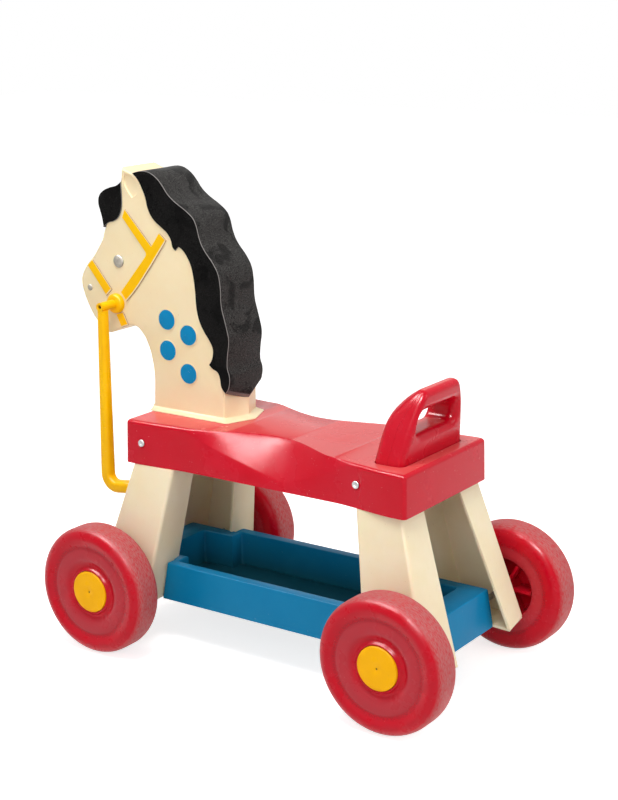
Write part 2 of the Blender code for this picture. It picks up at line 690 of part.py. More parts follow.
def add_seat():
    bm = bmesh.new()
    front = SEAT_FRONT - SEAT_END_DRAFT - SEAT_EDGE - SEAT_CORNER
    back = SEAT_REAR + SEAT_END_DRAFT + SEAT_EDGE + SEAT_CORNER
    stations = [front] + [front + (back - front) * (i + 0.5) / SEAT_STATIONS for i in range(SEAT_STATIONS)]
    stations.append(back)
    rings = [foot_ring(stations)] + [seat_ring(share, stations) for share in SEAT_SHARES]
    top = loft(bm, rings)[-1]
    count = len(top)
    for i in range(count // 2 - 1):
        bm.faces.new((top[i], top[i + 1], top[count - 2 - i], top[count - 1 - i]))
    seat = add_part("seat_shell", bm, RED, TOY)
    solidify(seat, SEAT_WALL)

    ribs = bmesh.new()
    under = SEAT_TOP - SEAT_WALL / 2
    for x in SEAT_RIB_X:
        box(ribs, (x - SEAT_WALL / 2, -SEAT_RIB_HALF, SEAT_TOP - SEAT_RIB_DEPTH),
            (x + SEAT_WALL / 2, SEAT_RIB_HALF, under))
    combine(seat, add_cutter("seat_ribs", ribs, TOY), "UNION")

    slot = bmesh.new()
    section = handle_ring(0, HANDLE_HALF, SLOT_GAP)
    loft_solid(slot, [[(x, y, z) for x, y, _ in section] for z in (-SLOT_DEPTH, SLOT_DEPTH)])
    combine(seat, add_cutter("handle_slot", slot, TOY, (0, 0, SEAT_TOP)))
    neck_slot = bmesh.new()
    box(neck_slot, (TONGUE_REAR - SLOT_GAP, -HEAD_HALF - SLOT_GAP, -SLOT_DEPTH),
        (TONGUE_FRONT + SLOT_GAP, HEAD_HALF + SLOT_GAP, SLOT_DEPTH))
    combine(seat, add_cutter("neck_slot", neck_slot, TOY, (NECK_REAR, 0, SEAT_TOP)))
    for x, name in ((PIN_FRONT_X, "front"), (PIN_REAR_X, "rear")):
        combine(seat, drill("seat_pin_hole_" + name, PIN_R + GAP, THROUGH, 12, TOY, (x, 0, PIN_HEIGHT)))


def rounded_box(half_x, half_y, radius, steps):
    """Corners of a rounded rectangle, anticlockwise."""
    points = []
    for i, (sx, sy) in enumerate(((1, 1), (-1, 1), (-1, -1), (1, -1))):
        centre = (sx * (half_x - radius), sy * (half_y - radius))
        points += arc(centre, radius, 90 * i, 90 * i + 90, steps)
    return points


def add_cross_pin(name, x):
    """A tubular rivet right through the seat, with a small head at each end."""
    end = seat_half(x) + 0.0006
    bore = [(PIN_BORE, -end), (PIN_BORE, end)]
    turned(name, [(PIN_R, end), (PIN_R, -end)] + bore, 12, ZINC, TOY, (x, 0, PIN_HEIGHT), (90, 0, 0), True)


# Rear handle

def handle_faces(height):
    """Where the handle's front and rear faces lie, at a height above the seat."""
    over = max(0.0, (height - FRONT_CROWN_START) / (HANDLE_HEIGHT - FRONT_CROWN_START))
    front = HANDLE_FRONT - HANDLE_FRONT_LEAN * height - FRONT_CROWN * over ** FRONT_CROWN_POWER
    up = max(0.0, (height - HANDLE_HEIGHT + REAR_CROWN) / REAR_CROWN)
    rear = HANDLE_REAR - HANDLE_REAR_LEAN * height + REAR_CROWN * (1 - math.sqrt(1 - up * up))
    return front, rear


def handle_ring(height, half_width, grow=0.0):
    """Plan section of the handle, which has softer corners in front. Its foot stands upright."""
    front, rear = handle_faces(max(0.0, height))
    front += grow
    rear -= grow
    half = half_width + grow
    softer = FRONT_CORNER + FRONT_CORNER_GROWTH * max(0.0, height - FRONT_CROWN_START)
    front_r = min(softer, (front - rear) * 0.55)
    rear_r = min(REAR_CORNER, (front - rear) * 0.4)
    side = arc((front - front_r, half - front_r), front_r, 0, 90, 3)
    side += arc((rear + rear_r, half - rear_r), rear_r, 90, 180, 3)
    return [(x, y, height) for x, y in side + [(x, -y) for x, y in reversed(side)]]


def add_handle():
    bm = bmesh.new()
    stations = [(-HANDLE_SINK, HANDLE_HALF), (0, HANDLE_HALF)] + list(HANDLE_SIDE)
    loft_solid(bm, [handle_ring(height, half_width) for height, half_width in stations])
    handle = add_part("rear_handle", bm, RED, TOY, (0, 0, SEAT_TOP))

    hole = bmesh.new()
    middle = (HOLE_LOW + HOLE_HIGH) / 2
    flare = ((-0.001, HOLE_ROUND * 1.3), (HOLE_ROUND * 0.3, HOLE_ROUND * 0.3), (HOLE_ROUND, 0))
    rings = []
    for face, stages in ((1, flare), (0, reversed(flare))):
        for depth, grow in stages:
            ring = rounded_box(HOLE_HALF + grow, (HOLE_HIGH - HOLE_LOW) / 2 + grow, HOLE_CORNER + grow, 2)
            inward = depth if face else -depth
            rings.append([(handle_faces(middle + z)[face] + inward, y, middle + z) for y, z in ring])
    loft_solid(hole, rings)
    combine(handle, add_cutter("hand_hole", hole, TOY, (0, 0, SEAT_TOP)))

    foot = bmesh.new()
    top = SEAT_TOP - SEAT_REAR_DROP - SEAT_WALL - GAP
    box(foot, (FOOT_REAR, -FOOT_HALF, SEAT_TOP - FOOT_DEPTH), (FOOT_FRONT, FOOT_HALF, top))
    combine(handle, add_cutter("handle_foot", foot, TOY), "UNION")
    hole = drill("handle_pin_hole", PIN_R + GAP, THROUGH, 12, TOY, (PIN_REAR_X, 0, PIN_HEIGHT))
    combine(handle, hole)


# Neck, head and hair

def head_loop():
    """The whole head outline with the tongue that stands in the seat."""
    foot = FLANGE_HEIGHT / 4
    base = [(0, foot), (TONGUE_REAR, foot), (TONGUE_REAR, -TONGUE_DEPTH), (TONGUE_FRONT, -TONGUE_DEPTH),
            (TONGUE_FRONT, foot), (NECK_BASE, foot)]
    back = [(0, KEEL_TOP + 0.009), (0, KEEL_TOP)]
    return corners(base) + list(HEAD_OUTLINE) + corners(back)


def pull_keel(bm, depth_at):
    """Split the plate's back along its middle and draw the middle out by the depth at each height."""
    back = [face for face in bm.faces
            if abs(face.normal.z) < 0.5 and face.calc_center_median().x < 0.012
            and face.calc_center_median().y < 0.06]
    edges = {edge for face in back for edge in face.edges}
    verts = {vert for face in back for vert in face.verts}
    bmesh.ops.bisect_plane(bm, geom=[*back, *edges, *verts], plane_co=(0, 0, 0), plane_no=(0, 0, 1))
    for vert in bm.verts:
        if abs(vert.co.z) < 1e-6:
            vert.co.x -= depth_at(vert.co.x, vert.co.y)


def neck_keel(x, y):
    """Depth of the neck's keel: whole up to its top, then gone under the mane."""
    if x > GAP or y < 0:
        return 0.0
    return KEEL_DEPTH if y <= KEEL_TOP + GAP else KEEL_UNDER_MANE


def mane_point(x, y):
    """How far the mane's lower end runs out to its point."""
    if x > 0 or y > MANE_CREASE_TOP:
        return 0.0
    return MANE_POINT if y < MANE_POINT_HEIGHT else MANE_CREASE


def flange_ring(z, grow):
    """Outline of the neck's foot on the seat, grown by the flange."""
    rear = -1.3 * grow
    side = HEAD_HALF + grow
    front = NECK_BASE + GAP
    points = [(front, -side), (front, side), (rear, side), (-KEEL_DEPTH - 1.4 * grow, 0), (rear, -side)]
    return [(x, y, z) for x, y in points]


def add_head():
    bm = plate([head_loop()], HEAD_HALF)
    pull_keel(bm, neck_keel)
    round_rims(bm, HEAD_HALF, HEAD_ROUND, 2, FLANGE_HEIGHT + 0.005)
    head = add_part("head_neck", bm, CREAM, HEAD, turn=(90, 0, 0))

    flange = bmesh.new()
    steps = ((0.0, FLANGE), (0.0012, FLANGE), (0.0030, 0.4 * FLANGE), (FLANGE_HEIGHT, -0.0005))
    loft_solid(flange, [flange_ring(GAP + height, grow) for height, grow in steps])
    combine(head, add_cutter("neck_flange", flange, HEAD), "UNION")

    pin = (PIN_FRONT_X - NECK_REAR, 0, PIN_HEIGHT - SEAT_TOP)
    combine(head, drill("neck_pin_hole", PIN_R + GAP, THROUGH, 12, HEAD, pin))
    combine(head, drill("bit_hole", BIT_R + GAP, THROUGH, 12, HEAD, (BIT[0], 0, BIT[1])))
    sockets = bmesh.new()
    for (x, z), radius in ((EYE, EYE_SHANK_R), (NOSTRIL, NOSTRIL_SHANK_R)):
        for side in (1, -1):
            start = len(sockets.verts)
            cylinder(sockets, facet_radius(radius + GAP, 8), HEAD_HALF - SHANK_LENGTH - GAP,
                     HEAD_HALF + 0.002, 8)
            sockets.verts.ensure_lookup_table()
            stud = sockets.verts[start:]
            bmesh.ops.rotate(sockets, verts=stud, matrix=Matrix.Rotation(-side * math.pi / 2, 3, "X"))
            bmesh.ops.translate(sockets, verts=stud, vec=(x, 0, z))
    combine(head, add_cutter("stud_holes", sockets, HEAD))
    for side, name in ((1, "left"), (-1, "right")):
        ear = plate([EAR_OUTLINE], EAR_DEPTH)
        combine(head, add_cutter("ear_recess_" + name, ear, HEAD, (0, side * HEAD_HALF, 0), (90, 0, 0)))


def add_hair(name, loop, depth_at=None):
    """A black moulding that clips over the edge of the head, as thick as the head and its flaps."""
    bm = plate([loop], HAIR_HALF)
    if depth_at:
        pull_keel(bm, depth_at)
    round_rims(bm, HAIR_HALF, HAIR_ROUND, 1)
    hair = add_part(name, bm, BLACK, HEAD, turn=(90, 0, 0))
    groove = plate([head_loop()], HEAD_HALF + GAP)
    pull_keel(groove, neck_keel)
    sides = [face for face in groove.faces if abs(face.normal.z) < 0.5]
    shifts = {}
    for face in sides:
        for vert in face.verts:
            shifts[vert] = shifts.get(vert, Vector()) + face.normal
    for vert, shift in shifts.items():
        flat = Vector((shift.x, shift.y, 0))
        vert.co += flat.normalized() * GAP * 1.5
    combine(hair, add_cutter("groove_of_" + name, groove, HEAD, turn=(90, 0, 0)))


def add_stud(name, place, radius, height, shank_r, side):
    """A domed metal stud with a shank in the head."""
    crown = HEAD_HALF + GAP
    profile = [(0, crown + height), (radius * 0.6, crown + height * 0.75), (radius, crown + height * 0.2),
               (radius, crown), (shank_r, crown), (shank_r, HEAD_HALF - SHANK_LENGTH),
               (0, HEAD_HALF - SHANK_LENGTH)]
    location = (place[0], 0, place[1])
    turned(name, profile, 10, GREY_METAL, HEAD, location, (-90 * side, 0, 0), False)


def add_labels(side, name):
    """Printed halter straps and round spots, laid on the side of the head."""
    y = side * (HEAD_HALF + GAP + LABEL_THICKNESS / 2)
    for part, outline in (("cheek", CHEEK_STRAP), ("nose", NOSE_STRAP), ("chin", CHIN_STRAP)):
        strap = plate([outline], LABEL_THICKNESS / 2)
        add_part(part + "_strap_label_" + name, strap, YELLOW, HEAD, (0, y, 0), (90, 0, 0))
    for number, (x, z) in enumerate(SPOTS, 1):
        spot = bmesh.new()
        cylinder(spot, SPOT_R, -LABEL_THICKNESS / 2, LABEL_THICKNESS / 2, 16)
        add_part(f"spot_label_{name}_{number}", spot, SPOT_BLUE, HEAD, (x, y, z), (90, 0, 0))


# Reins

def reins_path():
    """Middle line of the reins from the left shaft round to the right one, about the bit."""
    def level(x):
        return -ARM_DROP + GRIP_SLOPE * (ARM_SLANT - x)

    down = arc((ARM_SLANT - ARM_BEND, level(ARM_SLANT) + ARM_BEND), ARM_BEND, 0, -90, 4)
    across = arc((-GRIP_BACK + GRIP_BEND, ARM_Y - GRIP_BEND), GRIP_BEND, 90, 180, 3)
    left = [(0, ARM_Y, -0.004), (ARM_SLANT / 2, ARM_Y, -ARM_DROP / 2)]
    left += [(x, ARM_Y, z) for x, z in down]
    left += [(x, y, level(x)) for x, y in across]
    return left + [(x, -y, z) for x, y, z in reversed(left)]


def sweep(bm, path, across, section_at):
    """Carry a section along a path; across is the section's second axis where the path starts."""
    points = [Vector(point) for point in path]
    layers = []
    before = (points[1] - points[0]).normalized()
    for i, point in enumerate(points):
        ahead = (points[min(i + 1, len(points) - 1)] - point).normalized() if i + 1 < len(points) else None
        behind = (point - points[i - 1]).normalized() if i else None
        along = ((ahead or behind) + (behind or ahead)).normalized()
        turn = before.rotation_difference(along)
        across = (turn @ across).normalized()
        other = across.cross(along)
        before = along
        layers.append([bm.verts.new(point + other * a + across * b) for a, b in section_at(point)])
    for low, high in zip(layers, layers[1:]):
        for i in range(len(low)):
            j = (i + 1) % len(low)
            bm.faces.new((low[i], low[j], high[j], high[i]))
    bm.faces.new(reversed(layers[0]))
    bm.faces.new(layers[-1])


def arm_section(point):
    """Section of the reins, which grows from the bit down to the grip."""
    share = min(1.0, -point.z / ARM_DROP)
    depth = ARM_DEPTH[0] + (ARM_DEPTH[1] - ARM_DEPTH[0]) * share
    breadth = ARM_BREADTH[0] + (ARM_BREADTH[1] - ARM_BREADTH[0]) * share
    return rounded_box(depth / 2, breadth / 2, ARM_CORNER, 1)


def add_reins():
    bm = bmesh.new()
    sweep(bm, reins_path(), Vector((0, 1, 0)), arm_section)
    bmesh.ops.recalc_face_normals(bm, faces=bm.faces)
    reins = add_part("reins_bar", bm, YELLOW, HEAD, (BIT[0], 0, BIT[1]))

    inner = HEAD_HALF + GAP
    for side, name in ((1, "left"), (-1, "right")):
        turn = (-90 * side, 0, 0)
        shaft = bmesh.new()
        cylinder(shaft, DISC_R, inner, inner + DISC_THICKNESS, 16, DISC_R * 0.8)
        combine(reins, add_cutter("rein_disc_" + name, shaft, HEAD, (BIT[0], 0, BIT[1]), turn), "UNION")
        shaft = bmesh.new()
        cylinder(shaft, SHAFT_R, inner + DISC_THICKNESS / 2, SHAFT_END, 12)
        combine(reins, add_cutter("rein_shaft_" + name, shaft, HEAD, (BIT[0], 0, BIT[1]), turn), "UNION")
    combine(reins, drill("rein_bore", BIT_R + TURN_GAP, THROUGH, 12, HEAD, (BIT[0], 0, BIT[1])))


# Tray

def cross_outline(end_x, wing_x, wing_y, narrow_y, z):
    """A cross-shaped outline with rounded outer corners: wide wings and narrow ends."""
    radius = TRAY_CORNER
    quarter = arc((end_x - radius, narrow_y - radius), radius, 0, 90, 1)
    quarter.append((wing_x, narrow_y))
    quarter += arc((wing_x - radius, wing_y - radius), radius, 0, 90, 1)
    back = arc((radius - wing_x, wing_y - radius), radius, 90, 180, 1)
    back.append((-wing_x, narrow_y))
    back += arc((radius - end_x, narrow_y - radius), radius, 90, 180, 1)
    half = quarter + back
    ring = half + [(x, -y) for x, y in reversed(half)]
    return [(x, y, z) for x, y in ring]


def add_tray():
    def outer(z, inset=0.0):
        down = (TRAY_RIM - z) / (TRAY_RIM - TRAY_BOTTOM)
        return cross_outline(TRAY_END + TRAY_END_DRAFT * down - inset, leg_notch(z) - LEG_GAP - inset,
                             WING_HALF + WING_DRAFT * down - inset,
                             TRAY_NARROW + TRAY_NARROW_DRAFT * down - inset, z)

    def cavity(z, grow=0.0):
        down = (TRAY_RIM - z) / (TRAY_RIM - TRAY_FLOOR)
        shrink = CAVITY_DRAFT * down - grow
        return cross_outline(CAVITY_END_X - shrink, CAVITY_WING_X - shrink,
                             CAVITY_WING_Y - shrink, CAVITY_END_Y - shrink, z)

    bm = bmesh.new()
    edge = 0.0010
    rings = [outer(TRAY_BOTTOM), outer(TRAY_RIM - edge), outer(TRAY_RIM, edge),
             cavity(TRAY_RIM, edge), cavity(TRAY_RIM - edge), cavity(TRAY_FLOOR)]
    layers = loft(bm, rings)
    bm.faces.new(layers[-1])
    tray = add_part("storage_tray", bm, BLUE, TOY, (LEG_SHIFT, 0, 0))
    solidify(tray, TRAY_WALL)
    for end, name in ((1, "front"), (-1, "rear")):
        place = (end * WHEELBASE / 2, 0, WHEEL_R)
        combine(tray, drill("tray_axle_hole_" + name, AXLE_R + GAP, THROUGH, 12, TOY, place))


def main():
    for end, end_name in ((1, "front"), (-1, "rear")):
        x = end * WHEELBASE / 2
        add_axle("axle_" + end_name, x)
        for side, side_name in ((1, "left"), (-1, "right")):
            corner = end_name + "_" + side_name
            add_wheel(corner, x, side)
            add_leg("leg_" + corner, end, side)
    add_tray()
    add_seat()
    add_cross_pin("seat_cross_pin_front", PIN_FRONT_X)
    add_cross_pin("seat_cross_pin_rear", PIN_REAR_X)
    add_handle()
    add_head()
    add_hair("mane", list(MANE_FRONT) + list(MANE_BACK), mane_point)
    add_hair("forelock", list(FORELOCK_OUTLINE))
    for side, name in ((1, "left"), (-1, "right")):
        add_stud("eye_stud_" + name, EYE, EYE_R, EYE_HEIGHT, EYE_SHANK_R, side)
        add_stud("nostril_stud_" + name, NOSTRIL, NOSTRIL_R, NOSTRIL_HEIGHT, NOSTRIL_SHANK_R, side)
        add_labels(side, name)
    rod("bit_pin", BIT_R, 2 * (SHAFT_END - 0.002), 12, ZINC, HEAD, (BIT[0], 0, BIT[1]))
    add_reins()


clear_scene()
PARTS = new_group("ride_on_horse")
CUTTERS = new_group("cutters")
NOSE_X = NECK_REAR + max(point[0] for point in HEAD_OUTLINE)
REAR_X = -WHEELBASE / 2 - WHEEL_R
TOY = add_empty("toy_origin", (-(NOSE_X + REAR_X) / 2, 0, 0))
HEAD = add_empty("head_origin", (NECK_REAR, 0, SEAT_TOP), TOY)
main()
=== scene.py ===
import math

import bmesh
import bpy
from mathutils import Matrix, Vector


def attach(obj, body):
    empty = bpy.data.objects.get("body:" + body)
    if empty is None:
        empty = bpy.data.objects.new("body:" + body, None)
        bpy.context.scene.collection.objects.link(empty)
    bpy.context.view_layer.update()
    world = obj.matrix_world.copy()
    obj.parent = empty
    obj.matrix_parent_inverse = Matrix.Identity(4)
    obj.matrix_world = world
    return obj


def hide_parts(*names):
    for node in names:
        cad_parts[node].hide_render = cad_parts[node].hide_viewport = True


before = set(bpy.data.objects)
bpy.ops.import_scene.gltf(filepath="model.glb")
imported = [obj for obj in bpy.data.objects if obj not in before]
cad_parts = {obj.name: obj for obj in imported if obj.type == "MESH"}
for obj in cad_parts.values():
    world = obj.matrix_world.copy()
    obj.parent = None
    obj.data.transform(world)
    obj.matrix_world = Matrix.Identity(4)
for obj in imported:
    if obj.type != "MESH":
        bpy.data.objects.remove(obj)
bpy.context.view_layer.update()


# Wheels. Four blow-moulded polyethylene wheels with a dished outer face, a grained groove and a
# fat rounded tyre part. The backs are open, with ribs round a hub tube. The treads are scuffed
# grey by floors and carry fine dashes that run round the wheel.

AXLES_MIDDLE_X = -0.0146         # the toy's own middle lies ahead of the middle between its axles
WHEELBASE = 0.364
TRACK = 0.2536
WHEEL_R = 0.070
WHEEL_HALF = 0.020
TYRE_ROUND = 0.0125
CAP_R = 0.0226
WHEEL_SIDES = 120
WHEEL_RIBS = 6
RIB_SIZE = (0.0225, 0.0030, 0.0200)
RIB_MIDDLE = 0.0210
RIB_HEIGHT = -0.0070
DASH_LENGTH = 0.0050
DASH_SPACING = 0.0009
# How dirt changes with the radius: where each change starts and ends, and how strong it is there.
DIRT = {"tread": (0.0660, 0.0692, 0.0, 1.0), "groove": (0.0462, 0.0480, 0.0, 1.0),
        "groove_end": (0.0505, 0.0530, 1.0, 0.0), "web": (0.0300, 0.0350, 0.0, 1.0),
        "web_end": (0.0470, 0.0490, 0.34, 0.0)}
CORNERS = [(f"{end}_{side}", x, y) for end, x in (("front", 1), ("rear", -1))
           for side, y in (("left", 1), ("right", -1))]


def linear(hex_colour):
    """Turn an sRGB hex colour into the linear values that a shader socket takes."""
    values = [int(hex_colour[i:i + 2], 16) / 255 for i in (1, 3, 5)]
    return [v / 12.92 if v <= 0.04045 else ((v + 0.055) / 1.055) ** 2.4 for v in values] + [1.0]


def add(tree, kind, inputs=None, **settings):
    """Add a node with its properties. Its inputs are given as values, as other nodes' outputs, or
    as other nodes, which stand for their first output."""
    made = tree.nodes.new(kind)
    for key, value in settings.items():
        setattr(made, key, value)
    for key, value in (inputs or {}).items():
        named = [socket for socket in made.inputs if socket.identifier == key]
        socket = named[0] if named else made.inputs[key]
        if isinstance(value, bpy.types.Node):
            value = value.outputs[0]
        if isinstance(value, bpy.types.NodeSocket):
            tree.links.new(value, socket)
        else:
            socket.default_value = value
    return made


def moulded_plastic(name, colour, haze, haze_share=0.5, haze_mm=45, grain_mm=1.4, grain=0.12,
                    roughness=0.32, fleck="#E8C9B8", fleck_share=0.02, skin=0.0, place=None, shine=0.20):
    """Moulded polyethylene: a waxy half gloss with faint orange peel, hazed patches where hands
    and years have dulled it, and small pale flecks and nicks. Fine wear takes away much of its
    mirror, which shine gives. Returns the parts to build on."""
    material = bpy.data.materials.new(name)
    material.use_nodes = True
    tree = material.node_tree
    shader = tree.nodes["Principled BSDF"]
    if place is None:
        place = add(tree, "ShaderNodeTexCoord").outputs["Object"]
    else:
        place = add(tree, "ShaderNodeAttribute", attribute_name=place).outputs["Vector"]
    cloud = add(tree, "ShaderNodeTexNoise", {
        "Vector": place, "Scale": 1000 / haze_mm, "Detail": 4.0, "Roughness": 0.62})
    hazed = add(tree, "ShaderNodeMapRange", {
        "Value": cloud, "From Min": 0.40, "From Max": 0.66, "To Min": 0.0, "To Max": haze_share})
    base = add(tree, "ShaderNodeMix", {
        "Factor_Float": hazed, "A_Color": linear(colour), "B_Color": linear(haze)}, data_type="RGBA")
    nick = add(tree, "ShaderNodeTexNoise", {
        "Vector": place, "Scale": 1000 / (grain_mm * 1.6), "Detail": 2.0, "Roughness": 0.7})
    flecked = add(tree, "ShaderNodeMapRange", {
        "Value": nick, "From Min": 0.72 - fleck_share, "From Max": 0.78, "To Min": 0.0, "To Max": 0.6})
    colours = add(tree, "ShaderNodeMix", {
        "Factor_Float": flecked, "A_Color": base.outputs[2], "B_Color": linear(fleck)}, data_type="RGBA")
    tree.links.new(colours.outputs[2], shader.inputs["Base Color"])
    dull = add(tree, "ShaderNodeMapRange", {
        "Value": cloud, "From Min": 0.35, "From Max": 0.70, "To Min": roughness - 0.05,
        "To Max": roughness + 0.13})
    tree.links.new(dull.outputs["Result"], shader.inputs["Roughness"])
    fine = add(tree, "ShaderNodeTexNoise", {"Vector": place, "Scale": 1000 / grain_mm, "Detail": 3.0})
    peel = add(tree, "ShaderNodeTexNoise", {"Vector": place, "Scale": 1000 / 9, "Detail": 1.0})
    rough_skin = add(tree, "ShaderNodeBump", {"Strength": grain, "Distance": 0.0004, "Height": fine})
    skin_bump = add(tree, "ShaderNodeBump", {
        "Strength": 0.10, "Distance": 0.0012, "Height": peel, "Normal": rough_skin})
    tree.links.new(skin_bump.outputs["Normal"], shader.inputs["Normal"])
    shader.inputs["IOR"].default_value = 1.50
    shader.inputs["Specular IOR Level"].default_value = shine
    if skin:
        shader.inputs["Subsurface Weight"].default_value = skin
        shader.inputs["Subsurface Radius"].default_value = (1.0, 0.45, 0.2)
        shader.inputs["Subsurface Scale"].default_value = 0.004
    return {"material": material, "tree": tree, "shader": shader, "place": place,
            "colour": colours.outputs[2], "roughness": dull.outputs["Result"],
            "bump": skin_bump.outputs["Normal"]}


def overlay(plastic, share, colour):
    """Lay a colour over the one that a plastic has so far, by the share that a node gives."""
    layer = add(plastic["tree"], "ShaderNodeMix", {
        "Factor_Float": share, "A_Color": plastic["colour"], "B_Color": linear(colour)}, data_type="RGBA")
    plastic["colour"] = layer.outputs[2]
    plastic["tree"].links.new(plastic["colour"], plastic["shader"].inputs["Base Color"])


def start_tree(name, inputs):
    """A new tree of Geometry Nodes with its named inputs, and the outputs that bring them in."""
    tree = bpy.data.node_groups.new(name, "GeometryNodeTree")
    for label, kind in inputs:
        tree.interface.new_socket(label, in_out="INPUT", socket_type="NodeSocket" + kind)
    tree.interface.new_socket("Piece", in_out="OUTPUT", socket_type="NodeSocketGeometry")
    return tree, add(tree, "NodeGroupInput").outputs


def turning_tree():
    """Geometry Nodes that turn a profile of radius X and height Z about Z. The profile runs down
    its outer side. Each point keeps its place on the piece in the attribute from_hub."""
    tree, given = start_tree("turned about an axis", (("Profile", "Geometry"), ("Sides", "Int"),
                                                      ("Plastic", "Material")))
    profile = given["Profile"]
    size = add(tree, "GeometryNodeAttributeDomainSize", {"Geometry": profile}, component="MESH")
    rows = add(tree, "ShaderNodeMath", {0: given["Sides"], 1: 1.0}, operation="ADD")
    grid = add(tree, "GeometryNodeMeshGrid", {"Vertices X": size.outputs["Point Count"], "Vertices Y": rows})
    index = add(tree, "GeometryNodeInputIndex")
    share = add(tree, "ShaderNodeMath", {0: index, 1: rows}, operation="DIVIDE")
    point = add(tree, "ShaderNodeMath", {0: share}, operation="FLOOR")
    step = add(tree, "ShaderNodeMath", {0: index, 1: rows}, operation="MODULO")
    turn = add(tree, "ShaderNodeMath", {0: step, 1: given["Sides"]}, operation="DIVIDE")
    angle = add(tree, "ShaderNodeMath", {0: turn, 1: 2 * math.pi}, operation="MULTIPLY")
    position = add(tree, "GeometryNodeInputPosition")
    sample = add(tree, "GeometryNodeSampleIndex", {
        "Geometry": profile, "Value": position, "Index": point}, data_type="FLOAT_VECTOR")
    turned = add(tree, "ShaderNodeVectorRotate", {
        "Vector": sample.outputs["Value"], "Angle": angle}, rotation_type="Z_AXIS")
    moved = add(tree, "GeometryNodeSetPosition", {"Geometry": grid, "Position": turned})
    closed = add(tree, "GeometryNodeMergeByDistance", {"Geometry": moved, "Distance": 0.00001})
    kept = add(tree, "GeometryNodeStoreNamedAttribute", {
        "Geometry": closed, "Name": "from_hub", "Value": position}, data_type="FLOAT_VECTOR", domain="POINT")
    whole = add(tree, "GeometryNodeRealizeInstances", {"Geometry": kept})
    dressed = add(tree, "GeometryNodeSetMaterial", {"Geometry": whole, "Material": given["Plastic"]})
    add(tree, "NodeGroupOutput", {"Piece": dressed})
    return tree


def rib_tree():
    """Geometry Nodes that set ribs round a hub, each reaching from the hub tube to the rim."""
    tree, given = start_tree("ribs round a hub", (("Ribs", "Int"), ("Middle", "Float"), ("Size", "Vector"),
                                                  ("Height", "Float"), ("Plastic", "Material")))
    ring = add(tree, "GeometryNodeMeshCircle", {"Vertices": given["Ribs"], "Radius": given["Middle"]})
    rib = add(tree, "GeometryNodeMeshCube", {"Size": given["Size"]})
    index = add(tree, "GeometryNodeInputIndex")
    share = add(tree, "ShaderNodeMath", {0: index, 1: given["Ribs"]}, operation="DIVIDE")
    angle = add(tree, "ShaderNodeMath", {0: share, 1: 2 * math.pi}, operation="MULTIPLY")
    turn = add(tree, "ShaderNodeCombineXYZ", {"Z": angle})
    ribs = add(tree, "GeometryNodeInstanceOnPoints", {"Points": ring, "Instance": rib, "Rotation": turn})
    whole = add(tree, "GeometryNodeRealizeInstances", {"Geometry": ribs})
    up = add(tree, "ShaderNodeCombineXYZ", {"Z": given["Height"]})
    lifted = add(tree, "GeometryNodeTransform", {"Geometry": whole, "Translation": up})
    position = add(tree, "GeometryNodeInputPosition")
    kept = add(tree, "GeometryNodeStoreNamedAttribute", {
        "Geometry": lifted, "Name": "from_hub", "Value": position}, data_type="FLOAT_VECTOR", domain="POINT")
    dressed = add(tree, "GeometryNodeSetMaterial", {"Geometry": kept, "Material": given["Plastic"]})
    add(tree, "NodeGroupOutput", {"Piece": dressed})
    return tree


def made_by(tree, source, values):
    """Run Geometry Nodes over a mesh and return the plain mesh that they make."""
    holder = bpy.data.objects.new("holder", source)
    bpy.context.scene.collection.objects.link(holder)
    modifier = holder.modifiers.new("nodes", "NODES")
    modifier.node_group = tree
    for item in tree.interface.items_tree:
        if item.in_out == "INPUT" and item.name in values:
            modifier[item.identifier] = values[item.name]
    depsgraph = bpy.context.evaluated_depsgraph_get()
    mesh = bpy.data.meshes.new_from_object(holder.evaluated_get(depsgraph))
    bpy.data.objects.remove(holder, do_unlink=True)
    return mesh


def profile_mesh(points):
    mesh = bpy.data.meshes.new("profile")
    edges = [(i, i + 1) for i in range(len(points) - 1)]
    mesh.from_pydata([(radius, 0, height) for radius, height in points], edges, [])
    return mesh


def put(name, meshes, matrix, body, nodes, sharp=35):
    """Join plain meshes into one piece in its place, and say what it rides on and stands for."""
    bm = bmesh.new()
    materials = []
    for mesh in meshes:
        first = len(bm.faces)
        bm.from_mesh(mesh)
        shift = len(materials)
        bm.faces.ensure_lookup_table()
        for face in bm.faces[first:]:
            face.material_index += shift
        materials += list(mesh.materials)
    whole = bpy.data.meshes.new(name)
    bm.to_mesh(whole)
    bm.free()
    for material in materials:
        whole.materials.append(material)
    whole.transform(matrix)
    whole.shade_smooth()
    whole.set_sharp_from_angle(angle=math.radians(sharp))
    piece = bpy.data.objects.new(name, whole)
    bpy.context.scene.collection.objects.link(piece)
    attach(piece, body)
    if nodes:
        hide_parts(*nodes)
    return piece


def rounding(centre_r, centre_h, radius, start, end, steps):
    """Points of a rounding in a turned profile, from one angle to the other in degrees."""
    points = []
    for i in range(steps + 1):
        angle = math.radians(start + (end - start) * i / steps)
        points.append((centre_r + radius * math.cos(angle), centre_h + radius * math.sin(angle)))
    return points


turn_profile = turning_tree()
set_ribs = rib_tree()

